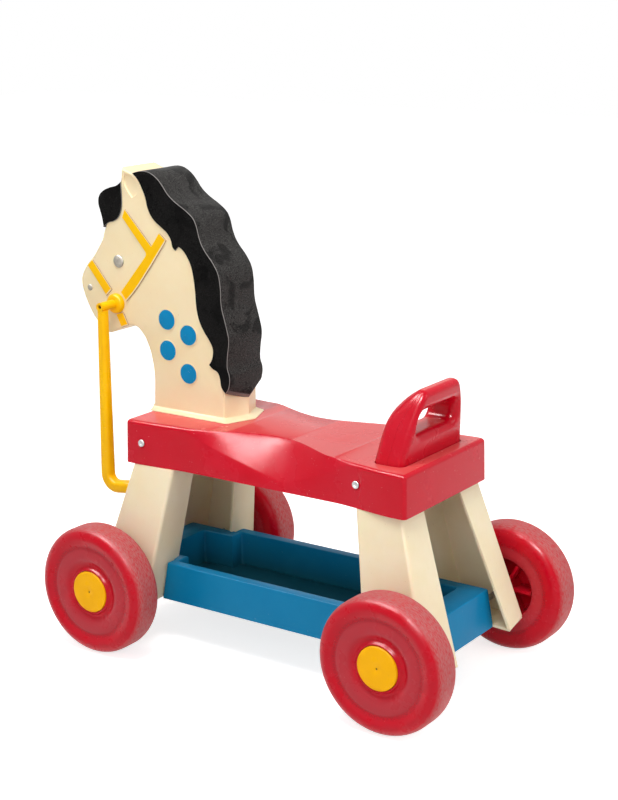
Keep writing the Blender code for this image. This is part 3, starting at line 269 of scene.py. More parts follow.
# Red polyethylene: strong red where it is clean, a dusty pinkish haze on the dished face.
wheel_red = moulded_plastic(
    "red blow-moulded polyethylene", "#C2001C", "#B41C2C", haze_share=0.5, haze_mm=30, grain_mm=1.5,
    grain=0.14, roughness=0.25, fleck="#E39A96", fleck_share=0.02, place="from_hub", shine=0.16)
tree = wheel_red["tree"]
parts = add(tree, "ShaderNodeSeparateXYZ", {"Vector": wheel_red["place"]})
flat = add(tree, "ShaderNodeCombineXYZ", {"X": parts.outputs["X"], "Y": parts.outputs["Y"]})
radius = add(tree, "ShaderNodeVectorMath", {0: flat}, operation="LENGTH")
angle = add(tree, "ShaderNodeMath", {0: parts.outputs["Y"], 1: parts.outputs["X"]}, operation="ARCTAN2")
around = add(tree, "ShaderNodeMath", {0: angle, 1: WHEEL_R / DASH_LENGTH}, operation="MULTIPLY")
across = add(tree, "ShaderNodeMath", {0: parts.outputs["Z"], 1: 1 / DASH_SPACING}, operation="MULTIPLY")
dash_place = add(tree, "ShaderNodeCombineXYZ", {"X": around, "Y": across})
dashes = add(tree, "ShaderNodeTexNoise", {
    "Vector": dash_place, "Scale": 1.0, "Detail": 1.5}, noise_dimensions="2D")
worn = add(tree, "ShaderNodeMapRange", {
    "Value": dashes, "From Min": 0.38, "From Max": 0.60, "To Min": 0.20, "To Max": 0.62})
grit = add(tree, "ShaderNodeTexNoise", {"Vector": wheel_red["place"], "Scale": 1000 / 1.1, "Detail": 2.0})
gritty = add(tree, "ShaderNodeMapRange", {
    "Value": grit, "From Min": 0.42, "From Max": 0.62, "To Min": 0.0, "To Max": 0.55})
dirt = {}
for where, (start, end, low, high) in DIRT.items():
    dirt[where] = add(tree, "ShaderNodeMapRange", {
        "Value": radius.outputs["Value"], "From Min": start, "From Max": end, "To Min": low, "To Max": high})
band = add(tree, "ShaderNodeMath", {0: dirt["groove"], 1: dirt["groove_end"]}, operation="MULTIPLY")
# Black grit lies in the groove, scuffs cover the tread, and the web inside the groove is dusty.
for first, second, colour in ((band, gritty, "#6A1C22"),
                              (dirt["tread"], worn, "#AE807C"),
                              (dirt["web"], dirt["web_end"], "#A04A50")):
    share = add(tree, "ShaderNodeMath", {0: first, 1: second}, operation="MULTIPLY")
    overlay(wheel_red, share, colour)
rougher = add(tree, "ShaderNodeMath", {
    0: dirt["tread"], 1: 0.28, 2: wheel_red["roughness"]}, operation="MULTIPLY_ADD")
tree.links.new(rougher.outputs[0], wheel_red["shader"].inputs["Roughness"])
dash_height = add(tree, "ShaderNodeMath", {0: dirt["tread"], 1: dashes}, operation="MULTIPLY")
dash_bump = add(tree, "ShaderNodeBump", {
    "Strength": 0.35, "Distance": 0.0006, "Height": dash_height, "Normal": wheel_red["bump"]})
tree.links.new(dash_bump.outputs["Normal"], wheel_red["shader"].inputs["Normal"])

# The outer face from the hub to the tyre, then the open back from the tyre to the axle's bore.
WEB = [(0.0229, 0.0075), (0.0229, 0.0160), (0.0232, 0.0168), (0.0240, 0.0172), (0.0248, 0.0168),
       (0.0256, 0.0152), (0.0270, 0.0139), (0.0288, 0.0134), (0.0306, 0.0140), (0.0328, 0.0156),
       (0.0350, 0.0167), (0.0375, 0.0172), (0.0410, 0.0173), (0.0450, 0.0171), (0.0464, 0.0169),
       (0.0474, 0.0165), (0.0484, 0.0164), (0.0500, 0.0166), (0.0514, 0.0172), (0.0530, 0.0181),
       (0.0550, 0.0190), (0.0570, 0.0196)]
BACK = [(0.0560, -0.0200), (0.0420, -0.0200), (0.0365, -0.0196), (0.0345, -0.0186),
        (0.0335, -0.0165), (0.0305, 0.0035), (0.0110, 0.0035), (0.0102, 0.0015),
        (0.0100, -0.0195), (0.0095, -0.0200), (0.0036, -0.0200), (0.0036, 0.0075)]
shoulder = WHEEL_R - TYRE_ROUND
wheel_points = WEB + rounding(shoulder, WHEEL_HALF - TYRE_ROUND, TYRE_ROUND, 86, 6, 12)
wheel_points += [(WHEEL_R, 0.006), (WHEEL_R, -0.006)]
wheel_points += rounding(shoulder, TYRE_ROUND - WHEEL_HALF, TYRE_ROUND, -6, -86, 12) + BACK
wheel_points.append(WEB[0])
turned_wheel = made_by(turn_profile, profile_mesh(wheel_points), {
    "Sides": WHEEL_SIDES, "Plastic": wheel_red["material"]})
ribs = made_by(set_ribs, bpy.data.meshes.new("ribs"), {
    "Ribs": WHEEL_RIBS, "Middle": RIB_MIDDLE, "Size": RIB_SIZE, "Height": RIB_HEIGHT,
    "Plastic": wheel_red["material"]})


def hub_place(x, y):
    """Where the middle of a wheel lies, with its outer face turned away from the toy."""
    hub = Matrix.Translation((AXLES_MIDDLE_X + x * WHEELBASE / 2, y * TRACK / 2, WHEEL_R))
    return hub @ Matrix.Rotation(-y * math.pi / 2, 4, "X")


for corner, x, y in CORNERS:
    put("moulded_wheel_" + corner, [turned_wheel, ribs], hub_place(x, y), corner + "_wheel",
        ["wheel_" + corner], 40)


# Hub caps. A yellow disc pressed into the middle of each wheel hides the push nut. It is almost
# flat, with a softly rounded rim and a small dimple left by the mould's gate.

# Yellow polystyrene is harder and smoother than the wheel, with a deep, even colour.
cap_yellow = moulded_plastic(
    "yellow moulded polystyrene", "#FCB800", "#F4AC00", haze_share=0.5, haze_mm=20, grain_mm=1.2, grain=0.06,
    roughness=0.30, fleck="#C98A10", fleck_share=0.0, place="from_hub", shine=0.10)
tree = cap_yellow["tree"]
apart = add(tree, "ShaderNodeVectorMath", {0: cap_yellow["place"], 1: (1, 1, 0)}, operation="MULTIPLY")
from_middle = add(tree, "ShaderNodeVectorMath", {0: apart}, operation="LENGTH")
dimple = add(tree, "ShaderNodeMapRange", {
    "Value": from_middle.outputs["Value"], "From Min": 0.0007, "From Max": 0.0011, "To Min": 1.0,
    "To Max": 0.0})
overlay(cap_yellow, dimple, "#2A1800")

CAP_CROWN = 0.0183
CAP_RIM = 0.0088
CAP_WALL = 0.0014
cap_points = [(0, CAP_CROWN - 0.0012), (0.0007, CAP_CROWN - 0.0011), (0.0011, CAP_CROWN - 0.0001),
              (0.0016, CAP_CROWN + 0.0002), (0.0090, CAP_CROWN + 0.0001), (0.0180, CAP_CROWN - 0.0002)]
cap_points += rounding(CAP_R - 0.0012, CAP_CROWN - 0.0015, 0.0012, 80, 0, 5)
cap_points += [(CAP_R, CAP_RIM), (CAP_R - CAP_WALL, CAP_RIM), (CAP_R - CAP_WALL, 0.0160), (0, 0.0165)]
turned_cap = made_by(turn_profile, profile_mesh(cap_points), {"Sides": 72, "Plastic": cap_yellow["material"]})
for corner, x, y in CORNERS:
    put("pressed_cap_" + corner, [turned_cap], hub_place(x, y), corner + "_wheel",
        ["hub_cap_" + corner], 40)


# Axles, push nuts and bit pin. Drawn steel rods and small zinc-plated pressings. Plain black tubes
# space the wheels from the legs. Little of them shows: the axles between the legs, and the tubes.

def metal(name, colour, shade, roughness, streak_mm):
    """Bare or plated steel, with fine streaks and a few dull spots."""
    material = bpy.data.materials.new(name)
    material.use_nodes = True
    tree = material.node_tree
    shader = tree.nodes["Principled BSDF"]
    place = add(tree, "ShaderNodeTexCoord").outputs["Object"]
    cloud = add(tree, "ShaderNodeTexNoise", {"Vector": place, "Scale": 1000 / streak_mm, "Detail": 5.0})
    tone = add(tree, "ShaderNodeMix", {
        "Factor_Float": cloud, "A_Color": linear(colour), "B_Color": linear(shade)}, data_type="RGBA")
    tree.links.new(tone.outputs[2], shader.inputs["Base Color"])
    dull = add(tree, "ShaderNodeMapRange", {
        "Value": cloud, "To Min": roughness - 0.1, "To Max": roughness + 0.2})
    tree.links.new(dull.outputs["Result"], shader.inputs["Roughness"])
    shader.inputs["Metallic"].default_value = 1.0
    return material


def refinish(node, material):
    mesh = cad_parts[node].data
    mesh.materials.clear()
    mesh.materials.append(material)


# Drawn rod keeps a fine sheen, the bit has rusted brown in the mouth, zinc plate is soft and grey.
drawn_steel = metal("drawn steel rod", "#B9BCBE", "#6E6C68", 0.32, 3)
rusted_steel = metal("rusted steel rod", "#4A2014", "#2A100A", 0.60, 1)
zinc_plate = metal("zinc plated pressing", "#C6C8CA", "#8A8884", 0.36, 2)
spacer_black = moulded_plastic("black polyethylene spacer", "#141414", "#26221F")["material"]
for node in ("axle_front", "axle_rear"):
    refinish(node, drawn_steel)
refinish("bit_pin", rusted_steel)
for corner, x, y in CORNERS:
    refinish("push_nut_" + corner, zinc_plate)
    refinish("wheel_spacer_" + corner, spacer_black)


# Seat. A red injection-moulded polyethylene shell, open below and stiffened by ribs. A scoop for
# each thigh fades out along its sides. Slots in its top take the handle's foot and the neck.

TOY = Matrix.Translation((AXLES_MIDDLE_X, 0, 0))
GAP = 0.0003
SLOT_GAP = 0.0008
SEAT_BOTTOM = 0.1990
SEAT_TOP = 0.2467
SEAT_WALL = 0.0030
SEAT_FRONT = 0.1826
SEAT_REAR = -0.1740
SEAT_CORNER = 0.0045
SEAT_EDGE = 0.0045
END_DRAFT = 0.0006
SIDE_DRAFT = 0.0010
WAIST_HALF = 0.0722
FRONT_HALF = 0.0772
REAR_HALF = 0.0815
FLARE_LENGTH = 0.080
SEAT_REAR_DROP = 0.0030
FALL_START = -0.020
FALL_END = -0.110
SCOOP_CENTRE = 0.004
SCOOP_HALF_LENGTH = 0.080
SCOOP_DEPTH = 0.0240
SCOOP_ROLL = 1.2
RIDGE_CENTRE = -0.020
RIDGE_FRONT = 0.124
RIDGE_REAR = 0.080
RIDGE_DROP = 0.0360
SEAT_STATIONS = 96
SEAT_LAYERS = 18
SEAT_RIBS = (-0.060, -0.005, 0.050)
SEAT_RIB_HALF = 0.036
SEAT_RIB_DEPTH = 0.022
SLOT_REACH = 0.012
PIN_HEIGHT = 0.2230
PIN_R = 0.00325
DIMPLE = ((-0.0007, 0.0046), (0.0030, 0.0085))   # how far out from the side, and its radius there
PINS = (("front", 0.160), ("rear", -0.113))
HANDLE_HALF = 0.0600
NECK_REAR = 0.084
HEAD_HALF = 0.0288
TONGUE = (0.008, 0.090)


def lofted(rings, closed=True, bottom=True, top=True):
    """A shape through rings of points, each ring anticlockwise and the next one above it."""
    bm = bmesh.new()
    layers = [[bm.verts.new(point) for point in ring] for ring in rings]
    for low, high in zip(layers, layers[1:]):
        for i in range(len(low) if closed else len(low) - 1):
            j = (i + 1) % len(low)
            bm.faces.new((low[i], low[j], high[j], high[i]))
    if bottom:
        bm.faces.new(reversed(layers[0]))
    if top:
        bm.faces.new(layers[-1])
    return bm


def block(low, high):
    bm = bmesh.new()
    middle = (Vector(high) + Vector(low)) / 2
    size = Matrix.Diagonal((*(Vector(high) - Vector(low)), 1))
    bmesh.ops.create_cube(bm, size=1, matrix=Matrix.Translation(middle) @ size)
    return bm


def rod_along_y(radius, start, end, x, z, sides=32, end_radius=None):
    bm = bmesh.new()
    place = Matrix.Translation((x, (start + end) / 2, z)) @ Matrix.Rotation(-math.pi / 2, 4, "X")
    last = radius if end_radius is None else end_radius
    bmesh.ops.create_cone(bm, cap_ends=True, segments=sides, radius1=radius, radius2=last,
                          depth=end - start, matrix=place)
    return bm


def shaped(bm, material, steps=(), wall=0.0, edge=0.0):
    """Give a shape its wall and soft edges, then join or cut other shapes, and return its mesh."""
    meshes = []
    holders = []
    for shape in [bm] + [shape for _, shape in steps]:
        mesh = bpy.data.meshes.new("shape")
        shape.to_mesh(mesh)
        shape.free()
        holder = bpy.data.objects.new("shape", mesh)
        bpy.context.scene.collection.objects.link(holder)
        meshes.append(mesh)
        holders.append(holder)
    if wall:
        solid = holders[0].modifiers.new("wall", "SOLIDIFY")
        solid.thickness = wall
        solid.offset = -1
        solid.use_quality_normals = True
    if edge:
        soft = holders[0].modifiers.new("edge", "BEVEL")
        soft.width = edge
        soft.segments = 3
        soft.limit_method = "ANGLE"
        soft.angle_limit = math.radians(50)
    for (operation, _), tool in zip(steps, holders[1:]):
        cut = holders[0].modifiers.new("step", "BOOLEAN")
        cut.operation = operation
        cut.solver = "EXACT"
        cut.object = tool
    depsgraph = bpy.context.evaluated_depsgraph_get()
    whole = bpy.data.meshes.new_from_object(holders[0].evaluated_get(depsgraph))
    for holder in holders:
        bpy.data.objects.remove(holder, do_unlink=True)
    whole.materials.clear()
    whole.materials.append(material)
    return whole


def smooth_step(value):
    value = min(1.0, max(0.0, value))
    return value * value * (3 - 2 * value)


def seat_half(x):
    front = smooth_step((x - SEAT_FRONT + FLARE_LENGTH + 0.01) / FLARE_LENGTH)
    rear = smooth_step((SEAT_REAR + FLARE_LENGTH + 0.01 - x) / FLARE_LENGTH)
    return WAIST_HALF + (FRONT_HALF - WAIST_HALF) * front + (REAR_HALF - WAIST_HALF) * rear


def seat_fall(x):
    return SEAT_REAR_DROP * smooth_step((FALL_START - x) / (FALL_START - FALL_END))


def ridge_drop(x):
    reach = RIDGE_FRONT if x > RIDGE_CENTRE else RIDGE_REAR
    return RIDGE_DROP * max(0.0, 1 - (abs(x - RIDGE_CENTRE) / reach) ** 1.2)


def seat_side(x, share):
    """Half width and height of the seat's side: share 0 is the scoop's ridge, 1 the top's edge."""
    drop = SEAT_EDGE + ridge_drop(x)
    along = abs(x - SCOOP_CENTRE) / SCOOP_HALF_LENGTH
    depth = SEAT_EDGE + SCOOP_DEPTH * max(0.0, 1 - along * along) ** 1.5
    round_in = 1 - math.sqrt(1 - share * share)
    slope_in = 1 - (1 - share) ** (1 / SCOOP_ROLL)
    scooped = smooth_step(ridge_drop(x) / SEAT_EDGE / 2.5)
    inward = round_in + (slope_in - round_in) * scooped
    return seat_half(x) - SIDE_DRAFT - depth * inward, SEAT_TOP - seat_fall(x) - drop * (1 - share)


def seat_ring(share, stations):
    """The seat's outline at one share; below 0 it is the foot."""
    half = []
    foot = share < 0
    inward = 0 if foot else SEAT_EDGE * (1 - math.sqrt(1 - share * share))
    for end, start in ((SEAT_FRONT, 0), (SEAT_REAR, 90)):
        side = 1 if end > 0 else -1
        x = end - (0 if foot else side * END_DRAFT)
        y = seat_half(end) - (0 if foot else SIDE_DRAFT)
        z = SEAT_BOTTOM if foot else SEAT_TOP - seat_fall(x) - SEAT_EDGE * (1 - share)
        radius = SEAT_CORNER - inward * 0.6
        turn = rounding(x - side * SEAT_CORNER, y - SEAT_CORNER, radius, start, start + 90, 8)
        half += [(px - side * inward * 0.4, py - inward * 0.4, z) for px, py in turn]
        if side > 0:
            for px in stations:
                py, pz = (seat_half(px), SEAT_BOTTOM) if foot else seat_side(px, share)
                half.append((px, py, pz))
    return half + [(px, -py, pz) for px, py, pz in reversed(half)]


def handle_faces(height):
    """Where the handle's front and rear faces lie, at a height above the seat."""
    over = max(0.0, (height - 0.028) / 0.042)
    front = -0.1225 - 0.146 * height - 0.0255 * over ** 2.6
    up = max(0.0, (height - 0.0615) / 0.0085)
    return front, -0.1571 - 0.183 * height + 0.0085 * (1 - math.sqrt(max(0.0, 1 - up * up)))


def handle_ring(height, half, grow=0.0, seam=0.0):
    """Plan section of the handle, with softer corners in front and the mould's seam at each side."""
    front, rear = handle_faces(max(0.0, height))
    front += grow
    rear -= grow
    half += grow
    front_r = min(0.0095 + 0.25 * max(0.0, height - 0.028), (front - rear) * 0.55)
    rear_r = min(0.0080, (front - rear) * 0.4)
    middle = (front - front_r + rear + rear_r) / 2
    side = rounding(front - front_r, half - front_r, front_r, 0, 90, 10)
    if seam:
        side += [(middle + seam, half), (middle, half + seam), (middle - seam, half)]
    side += rounding(rear + rear_r, half - rear_r, rear_r, 90, 180, 10)
    return [(x, y, height) for x, y in side + [(x, -y) for x, y in reversed(side)]]


def moved(bm, x, y, z):
    bmesh.ops.translate(bm, verts=bm.verts, vec=(x, y, z))
    return bm


# Red polyethylene from a polished mould: glossier than the wheels, with hardly a fleck.
seat_red = moulded_plastic(
    "red injection-moulded polyethylene", "#C60420", "#CA1C32", haze_share=0.45, haze_mm=55, grain_mm=1.3,
    grain=0.10, roughness=0.22, fleck="#F4C4BC", fleck_share=0.004, shine=0.16)
# A painted reflection turns the upward-facing top a paler, chalky red.
tree = seat_red["tree"]
facing = add(tree, "ShaderNodeSeparateXYZ", {"Vector": add(tree, "ShaderNodeTexCoord").outputs["Normal"]})
painted_sheen = add(tree, "ShaderNodeMapRange", {
    "Value": facing.outputs["Z"], "From Min": 0.93, "From Max": 0.995, "To Min": 0.0, "To Max": 0.30})
overlay(seat_red, painted_sheen, "#F08A80")
first = SEAT_FRONT - END_DRAFT - SEAT_EDGE - SEAT_CORNER
last = SEAT_REAR + END_DRAFT + SEAT_EDGE + SEAT_CORNER
stations = [first + (last - first) * i / SEAT_STATIONS for i in range(SEAT_STATIONS + 1)]
shares = [-1.0] + [1 - (1 - i / SEAT_LAYERS) ** 1.6 for i in range(SEAT_LAYERS + 1)]
shell = lofted([seat_ring(share, stations) for share in shares], bottom=False, top=False)
shell.verts.ensure_lookup_table()
rim = shell.verts[-len(seat_ring(1, stations)):]
for i in range(len(rim) // 2 - 1):
    shell.faces.new((rim[i], rim[i + 1], rim[len(rim) - 2 - i], rim[len(rim) - 1 - i]))
steps = [("UNION", block((x - SEAT_WALL / 2, -SEAT_RIB_HALF, SEAT_TOP - SEAT_RIB_DEPTH),
                         (x + SEAT_WALL / 2, SEAT_RIB_HALF, SEAT_TOP - SEAT_WALL / 2)))
         for x in SEAT_RIBS]
section = handle_ring(0, HANDLE_HALF, SLOT_GAP)
steps.append(("DIFFERENCE", lofted([[(x, y, SEAT_TOP + z) for x, y, _ in section]
                                    for z in (-SLOT_REACH, SLOT_REACH)])))
slot_half = HEAD_HALF + SLOT_GAP
steps.append(("DIFFERENCE", block((NECK_REAR + TONGUE[0] - SLOT_GAP, -slot_half, SEAT_TOP - SLOT_REACH),
                                  (NECK_REAR + TONGUE[1] + SLOT_GAP, slot_half, SEAT_TOP + SLOT_REACH))))
for end, x in PINS:
    steps.append(("DIFFERENCE", rod_along_y(PIN_R + GAP, -0.1, 0.1, x, PIN_HEIGHT)))
    for side in (1, -1):
        # A shallow dimple round each pin's head.
        face = side * (seat_half(x) - SIDE_DRAFT / 2)
        (low, low_r), (high, high_r) = sorted((face + side * out, radius) for out, radius in DIMPLE)
        steps.append(("DIFFERENCE", rod_along_y(low_r, low, high, x, PIN_HEIGHT, 32, high_r)))
put("saddle_seat", [shaped(shell, seat_red["material"], steps, wall=SEAT_WALL)], TOY, "horse_body",
    ["seat_shell"])


# Cross pins. Two zinc-plated tubular rivets right through the seat. They hold the legs, the neck
# and the handle, and each end is rolled over in a shallow dimple.

PIN_STANDS_OUT = 0.0006

for end, x in PINS:
    reach = seat_half(x) + PIN_STANDS_OUT
    head = [(0, reach - 0.0007), (0.0012, reach - 0.0007), (0.0018, reach - 0.0004), (0.0023, reach)]
    head += rounding(0.0034, reach - 0.0004, 0.0006, 80, -60, 6) + [(PIN_R, reach - 0.0012)]
    tube = head + [(radius, -height) for radius, height in reversed(head)]
    pin = made_by(turn_profile, profile_mesh(tube), {"Sides": 32, "Plastic": zinc_plate})
    put("tubular_rivet_" + end, [pin], TOY @ Matrix.Translation((x, 0, PIN_HEIGHT)) @
        Matrix.Rotation(math.pi / 2, 4, "X"), "horse_body", ["seat_cross_pin_" + end])


# Rear handle. A hollow red moulding in two halves, whose seam runs up the middle of its sides. Its
# foot drops into the seat, and the rear cross pin holds it.

HANDLE_HEIGHT = 0.0700
HANDLE_TOP_HALF = 0.0280
HANDLE_LAYERS = 40
HOLE_HALF = 0.0365
HOLE_LOW = 0.0240
HOLE_HIGH = 0.0475
HOLE_CORNER = 0.009
# How far the rounding of the hole's edge reaches into the handle and over its face, front and rear.
HOLE_ROUND = ((0.0045, 0.0045), (0.0110, 0.0095))
HANDLE_SEAM = 0.0003
HANDLE_SUNK = 0.009
FOOT_LOW = (-0.155, -0.034, SEAT_TOP - 0.0395)
FOOT_HIGH = (-0.1045, 0.034, SEAT_TOP - 0.0063)


def rounded_box(half_x, half_y, radius, steps):
    points = []
    for i, (sx, sy) in enumerate(((1, 1), (-1, 1), (-1, -1), (1, -1))):
        points += rounding(sx * (half_x - radius), sy * (half_y - radius), radius, 90 * i, 90 * i + 90,
                           steps)
    return points


def rounded_edge(deep, wide):
    """Steps inwards from in front of a face, each with how much wider the hole is there."""
    stages = [(-0.014, wide * 1.25), (-0.001, wide * 1.25)]
    for degrees in (12, 25, 40, 55, 70, 82, 90):
        angle = math.radians(degrees)
        stages.append((deep * (1 - math.cos(angle)), wide * (1 - math.sin(angle))))
    return stages


rings = [handle_ring(-HANDLE_SUNK, HANDLE_HALF, 0, HANDLE_SEAM)]
for i in range(HANDLE_LAYERS + 1):
    height = HANDLE_HEIGHT * (1 - (1 - i / HANDLE_LAYERS) ** 1.8)
    narrowing = math.sqrt(max(0.0, 1 - (height / HANDLE_HEIGHT) ** 0.92))
    half = HANDLE_TOP_HALF + (HANDLE_HALF - HANDLE_TOP_HALF) * narrowing
    rings.append(handle_ring(height, half, 0, HANDLE_SEAM))
grip = moved(lofted(rings), 0, 0, SEAT_TOP)
middle = (HOLE_LOW + HOLE_HIGH) / 2
rings = []
for face, inwards in ((1, 1), (0, -1)):
    for depth, grow in rounded_edge(*HOLE_ROUND[face])[::inwards]:
        ring = rounded_box(HOLE_HALF + grow, (HOLE_HIGH - HOLE_LOW) / 2 + grow, HOLE_CORNER + grow, 8)
        rings.append([(handle_faces(middle + z)[face] + inwards * depth, y, SEAT_TOP + middle + z)
                      for y, z in ring])
steps = [("DIFFERENCE", lofted(rings)), ("UNION", block(FOOT_LOW, FOOT_HIGH)),
         ("DIFFERENCE", rod_along_y(PIN_R + GAP, -0.1, 0.1, PINS[1][1], PIN_HEIGHT))]
put("grab_handle", [shaped(grip, seat_red["material"], steps)], TOY, "horse_body", ["rear_handle"])


# Legs. Four cream polyethylene channels that splay outwards, open towards the middle of the toy.
# They are moulded thin, so light comes through their free edges, and they are rubbed and yellowed.

LEG_BOTTOM = 0.0475
LEG_TOP = 0.1985
LEG_WALL = 0.0028
LEG_CORNER = 0.004
LEG_SHIFT = 0.0025
LEG_END = (0.1700, 0.295)
LEG_NOTCH = (0.1160, 0.165)
LEG_SIDE = (0.0766, 0.156)
LEG_LIP = (0.0372, 0.1675)
# How far in each wall's edge stands at the seat, and how much further out a metre below. Beside the
# tray the inner walls keep clear of it, at LEG_LIP.
END_LIP = {1: (0.0200, 0.190), -1: (0.0360, 0.125)}
NOTCH_LIP = {1: (0.0372, 0.100), -1: (0.0270, 0.110)}
REAR_FLARE = 0.056
CLEAR_OF_TRAY = (0.0895, 0.0909)
PLUG_TOP = 0.2365
PLUG_END = LEG_END[0] - 0.0015
PLUG_NOTCH = LEG_NOTCH[0] + 0.008
TAB_NOTCH = 0.104
TAB_DEPTH = 0.032
FOOT_EDGE = 0.0024
LEG_EDGE = 0.0006
BOSS_R = 0.0095
BOSS_STANDS_OUT = 0.0020
BORE_REACH = 0.015
AXLE_R = 0.003175


def sloped(wall, z):
    return wall[0] + wall[1] * (LEG_TOP - z)


def channel(z, end, notch, side_end, side_notch, end_lip, notch_lip, flare=0.0):
    points = [(end + flare, end_lip)]
    points += rounding(end - LEG_CORNER, side_end - LEG_CORNER, LEG_CORNER, 0, 90, 8)
    points += rounding(notch + LEG_CORNER, side_notch - LEG_CORNER, LEG_CORNER, 90, 180, 8)
    points.append((notch, notch_lip))
    return [(x, y, z) for x, y in points]


def to_corner(bm, end, side, shift):
    """Turn a shape drawn at the front left into the one at its own corner."""
    bmesh.ops.scale(bm, vec=(end, side, 1), verts=bm.verts)
    if end * side < 0:
        bmesh.ops.reverse_faces(bm, faces=bm.faces)
    return moved(bm, shift, 0, 0)


# Cream polyethylene, a little see-through where it is thin, with broad yellowed patches.
leg_cream = moulded_plastic(
    "cream injection-moulded polyethylene", "#F1E2C2", "#EBD8AE", haze_share=0.6, haze_mm=70, grain_mm=1.6,
    grain=0.10, roughness=0.36, fleck="#B08A5A", fleck_share=0.0, skin=0.15)
inside = SEAT_WALL + SIDE_DRAFT + GAP
axle_x = WHEELBASE / 2
wall_y = sloped(LEG_SIDE, WHEEL_R)
for corner, x, y in CORNERS:
    rings = []
    for z in (LEG_BOTTOM, *CLEAR_OF_TRAY, LEG_TOP):
        lips = (END_LIP[x], LEG_LIP if z <= CLEAR_OF_TRAY[0] else NOTCH_LIP[x])
        walls = [sloped(wall, z) for wall in (LEG_END, LEG_NOTCH, LEG_SIDE, LEG_SIDE, *lips)]
        rings.append(channel(z, *walls, 0.0 if x > 0 else REAR_FLARE * (LEG_TOP - z)))
    plug_sides = [seat_half(reach * x + LEG_SHIFT) - inside for reach in (PLUG_END, PLUG_NOTCH)]
    rings += [channel(z, PLUG_END, PLUG_NOTCH, *plug_sides, LEG_LIP[0], LEG_LIP[0])
              for z in (LEG_TOP + GAP, PLUG_TOP)]
    leg = lofted(rings, closed=False, top=False)
    foot = [edge for edge in leg.edges if len(edge.link_faces) == 2
            and all(abs(vert.co.z - LEG_BOTTOM) < 1e-6 for vert in edge.verts)]
    bmesh.ops.bevel(leg, geom=foot, offset=FOOT_EDGE, segments=5, profile=0.5, affect="EDGES")
    to_corner(leg, x, y, LEG_SHIFT)
    tab_y = seat_half(TAB_NOTCH * x) - inside - GAP
    tab = block((TAB_NOTCH, tab_y - LEG_WALL, PLUG_TOP - TAB_DEPTH),
                (PLUG_NOTCH + LEG_CORNER, tab_y, PLUG_TOP - GAP))
    boss = rod_along_y(BOSS_R, wall_y - LEG_WALL, wall_y + BOSS_STANDS_OUT, axle_x, WHEEL_R)
    bore = rod_along_y(AXLE_R + GAP, wall_y - BORE_REACH, wall_y + BORE_REACH, axle_x, WHEEL_R)
    pin_x = PINS[0][1] if x > 0 else -PINS[1][1]
    pin_y = seat_half(pin_x * x)
    pin_bore = rod_along_y(PIN_R + GAP, pin_y - BORE_REACH, pin_y + BORE_REACH, pin_x, PIN_HEIGHT)
    steps = [("UNION", to_corner(tab, x, y, LEG_SHIFT)), ("UNION", to_corner(boss, x, y, 0)),
             ("DIFFERENCE", to_corner(bore, x, y, 0)), ("DIFFERENCE", to_corner(pin_bore, x, y, 0))]
    put("channel_leg_" + corner, [shaped(leg, leg_cream["material"], steps, LEG_WALL, LEG_EDGE)], TOY,
        "horse_body", ["leg_" + corner])


# Storage tray. One blue polyethylene moulding with double walls, wide between the axles and narrow
# where the legs straddle it. Its rims are rounded, and painted shade darkens it towards its deep floor.

TRAY_RIM = 0.0893
TRAY_BOTTOM = 0.0478
TRAY_FLOOR = 0.0520
TRAY_CORNER = 0.0030
TRAY_EDGE = 0.0012
TRAY_WALL = 0.0024
# Outside, half sizes at the rim and how much more at the bottom. Inside, half sizes and their lean.
TRAY_END = (0.1960, 0.0050)
TRAY_WING = (0.0694, 0.0012)
TRAY_NARROW = (0.0550, 0.0040)
INSIDE = (0.1670, 0.1270, 0.0574, 0.0400)
INSIDE_LEAN = 0.0020


def cross_outline(end_x, wing_x, wing_y, narrow_y, z):
    """A cross-shaped outline with rounded outer corners: wide wings and narrow ends."""
    r = TRAY_CORNER
    quarter = rounding(end_x - r, narrow_y - r, r, 0, 90, 6) + [(wing_x, narrow_y)]
    quarter += rounding(wing_x - r, wing_y - r, r, 0, 90, 6)
    half = quarter + [(-x, y) for x, y in reversed(quarter)]
    return [(x, y, z) for x, y in half + [(x, -y) for x, y in reversed(half)]]


def tray_outside(z, inset):
    down = (TRAY_RIM - z) / (TRAY_RIM - TRAY_BOTTOM)
    end, wing, narrow = [rim + more * down - inset for rim, more in (TRAY_END, TRAY_WING, TRAY_NARROW)]
    return cross_outline(end, sloped(LEG_NOTCH, z) - 0.0005 - inset, wing, narrow, z)


def tray_inside(z, grow):
    grow -= INSIDE_LEAN * (TRAY_RIM - z) / (TRAY_RIM - TRAY_FLOOR)
    return cross_outline(*[half + grow for half in INSIDE], z)


# Blue polyethylene, duller than the seat, with a paler bloom where it has been handled.
tray_blue = moulded_plastic(
    "blue injection-moulded polyethylene", "#0577A6", "#147FAB", haze_share=0.55, haze_mm=60, grain_mm=1.5,
    grain=0.10, roughness=0.34, fleck="#8FB7C4", fleck_share=0.0, shine=0.11)
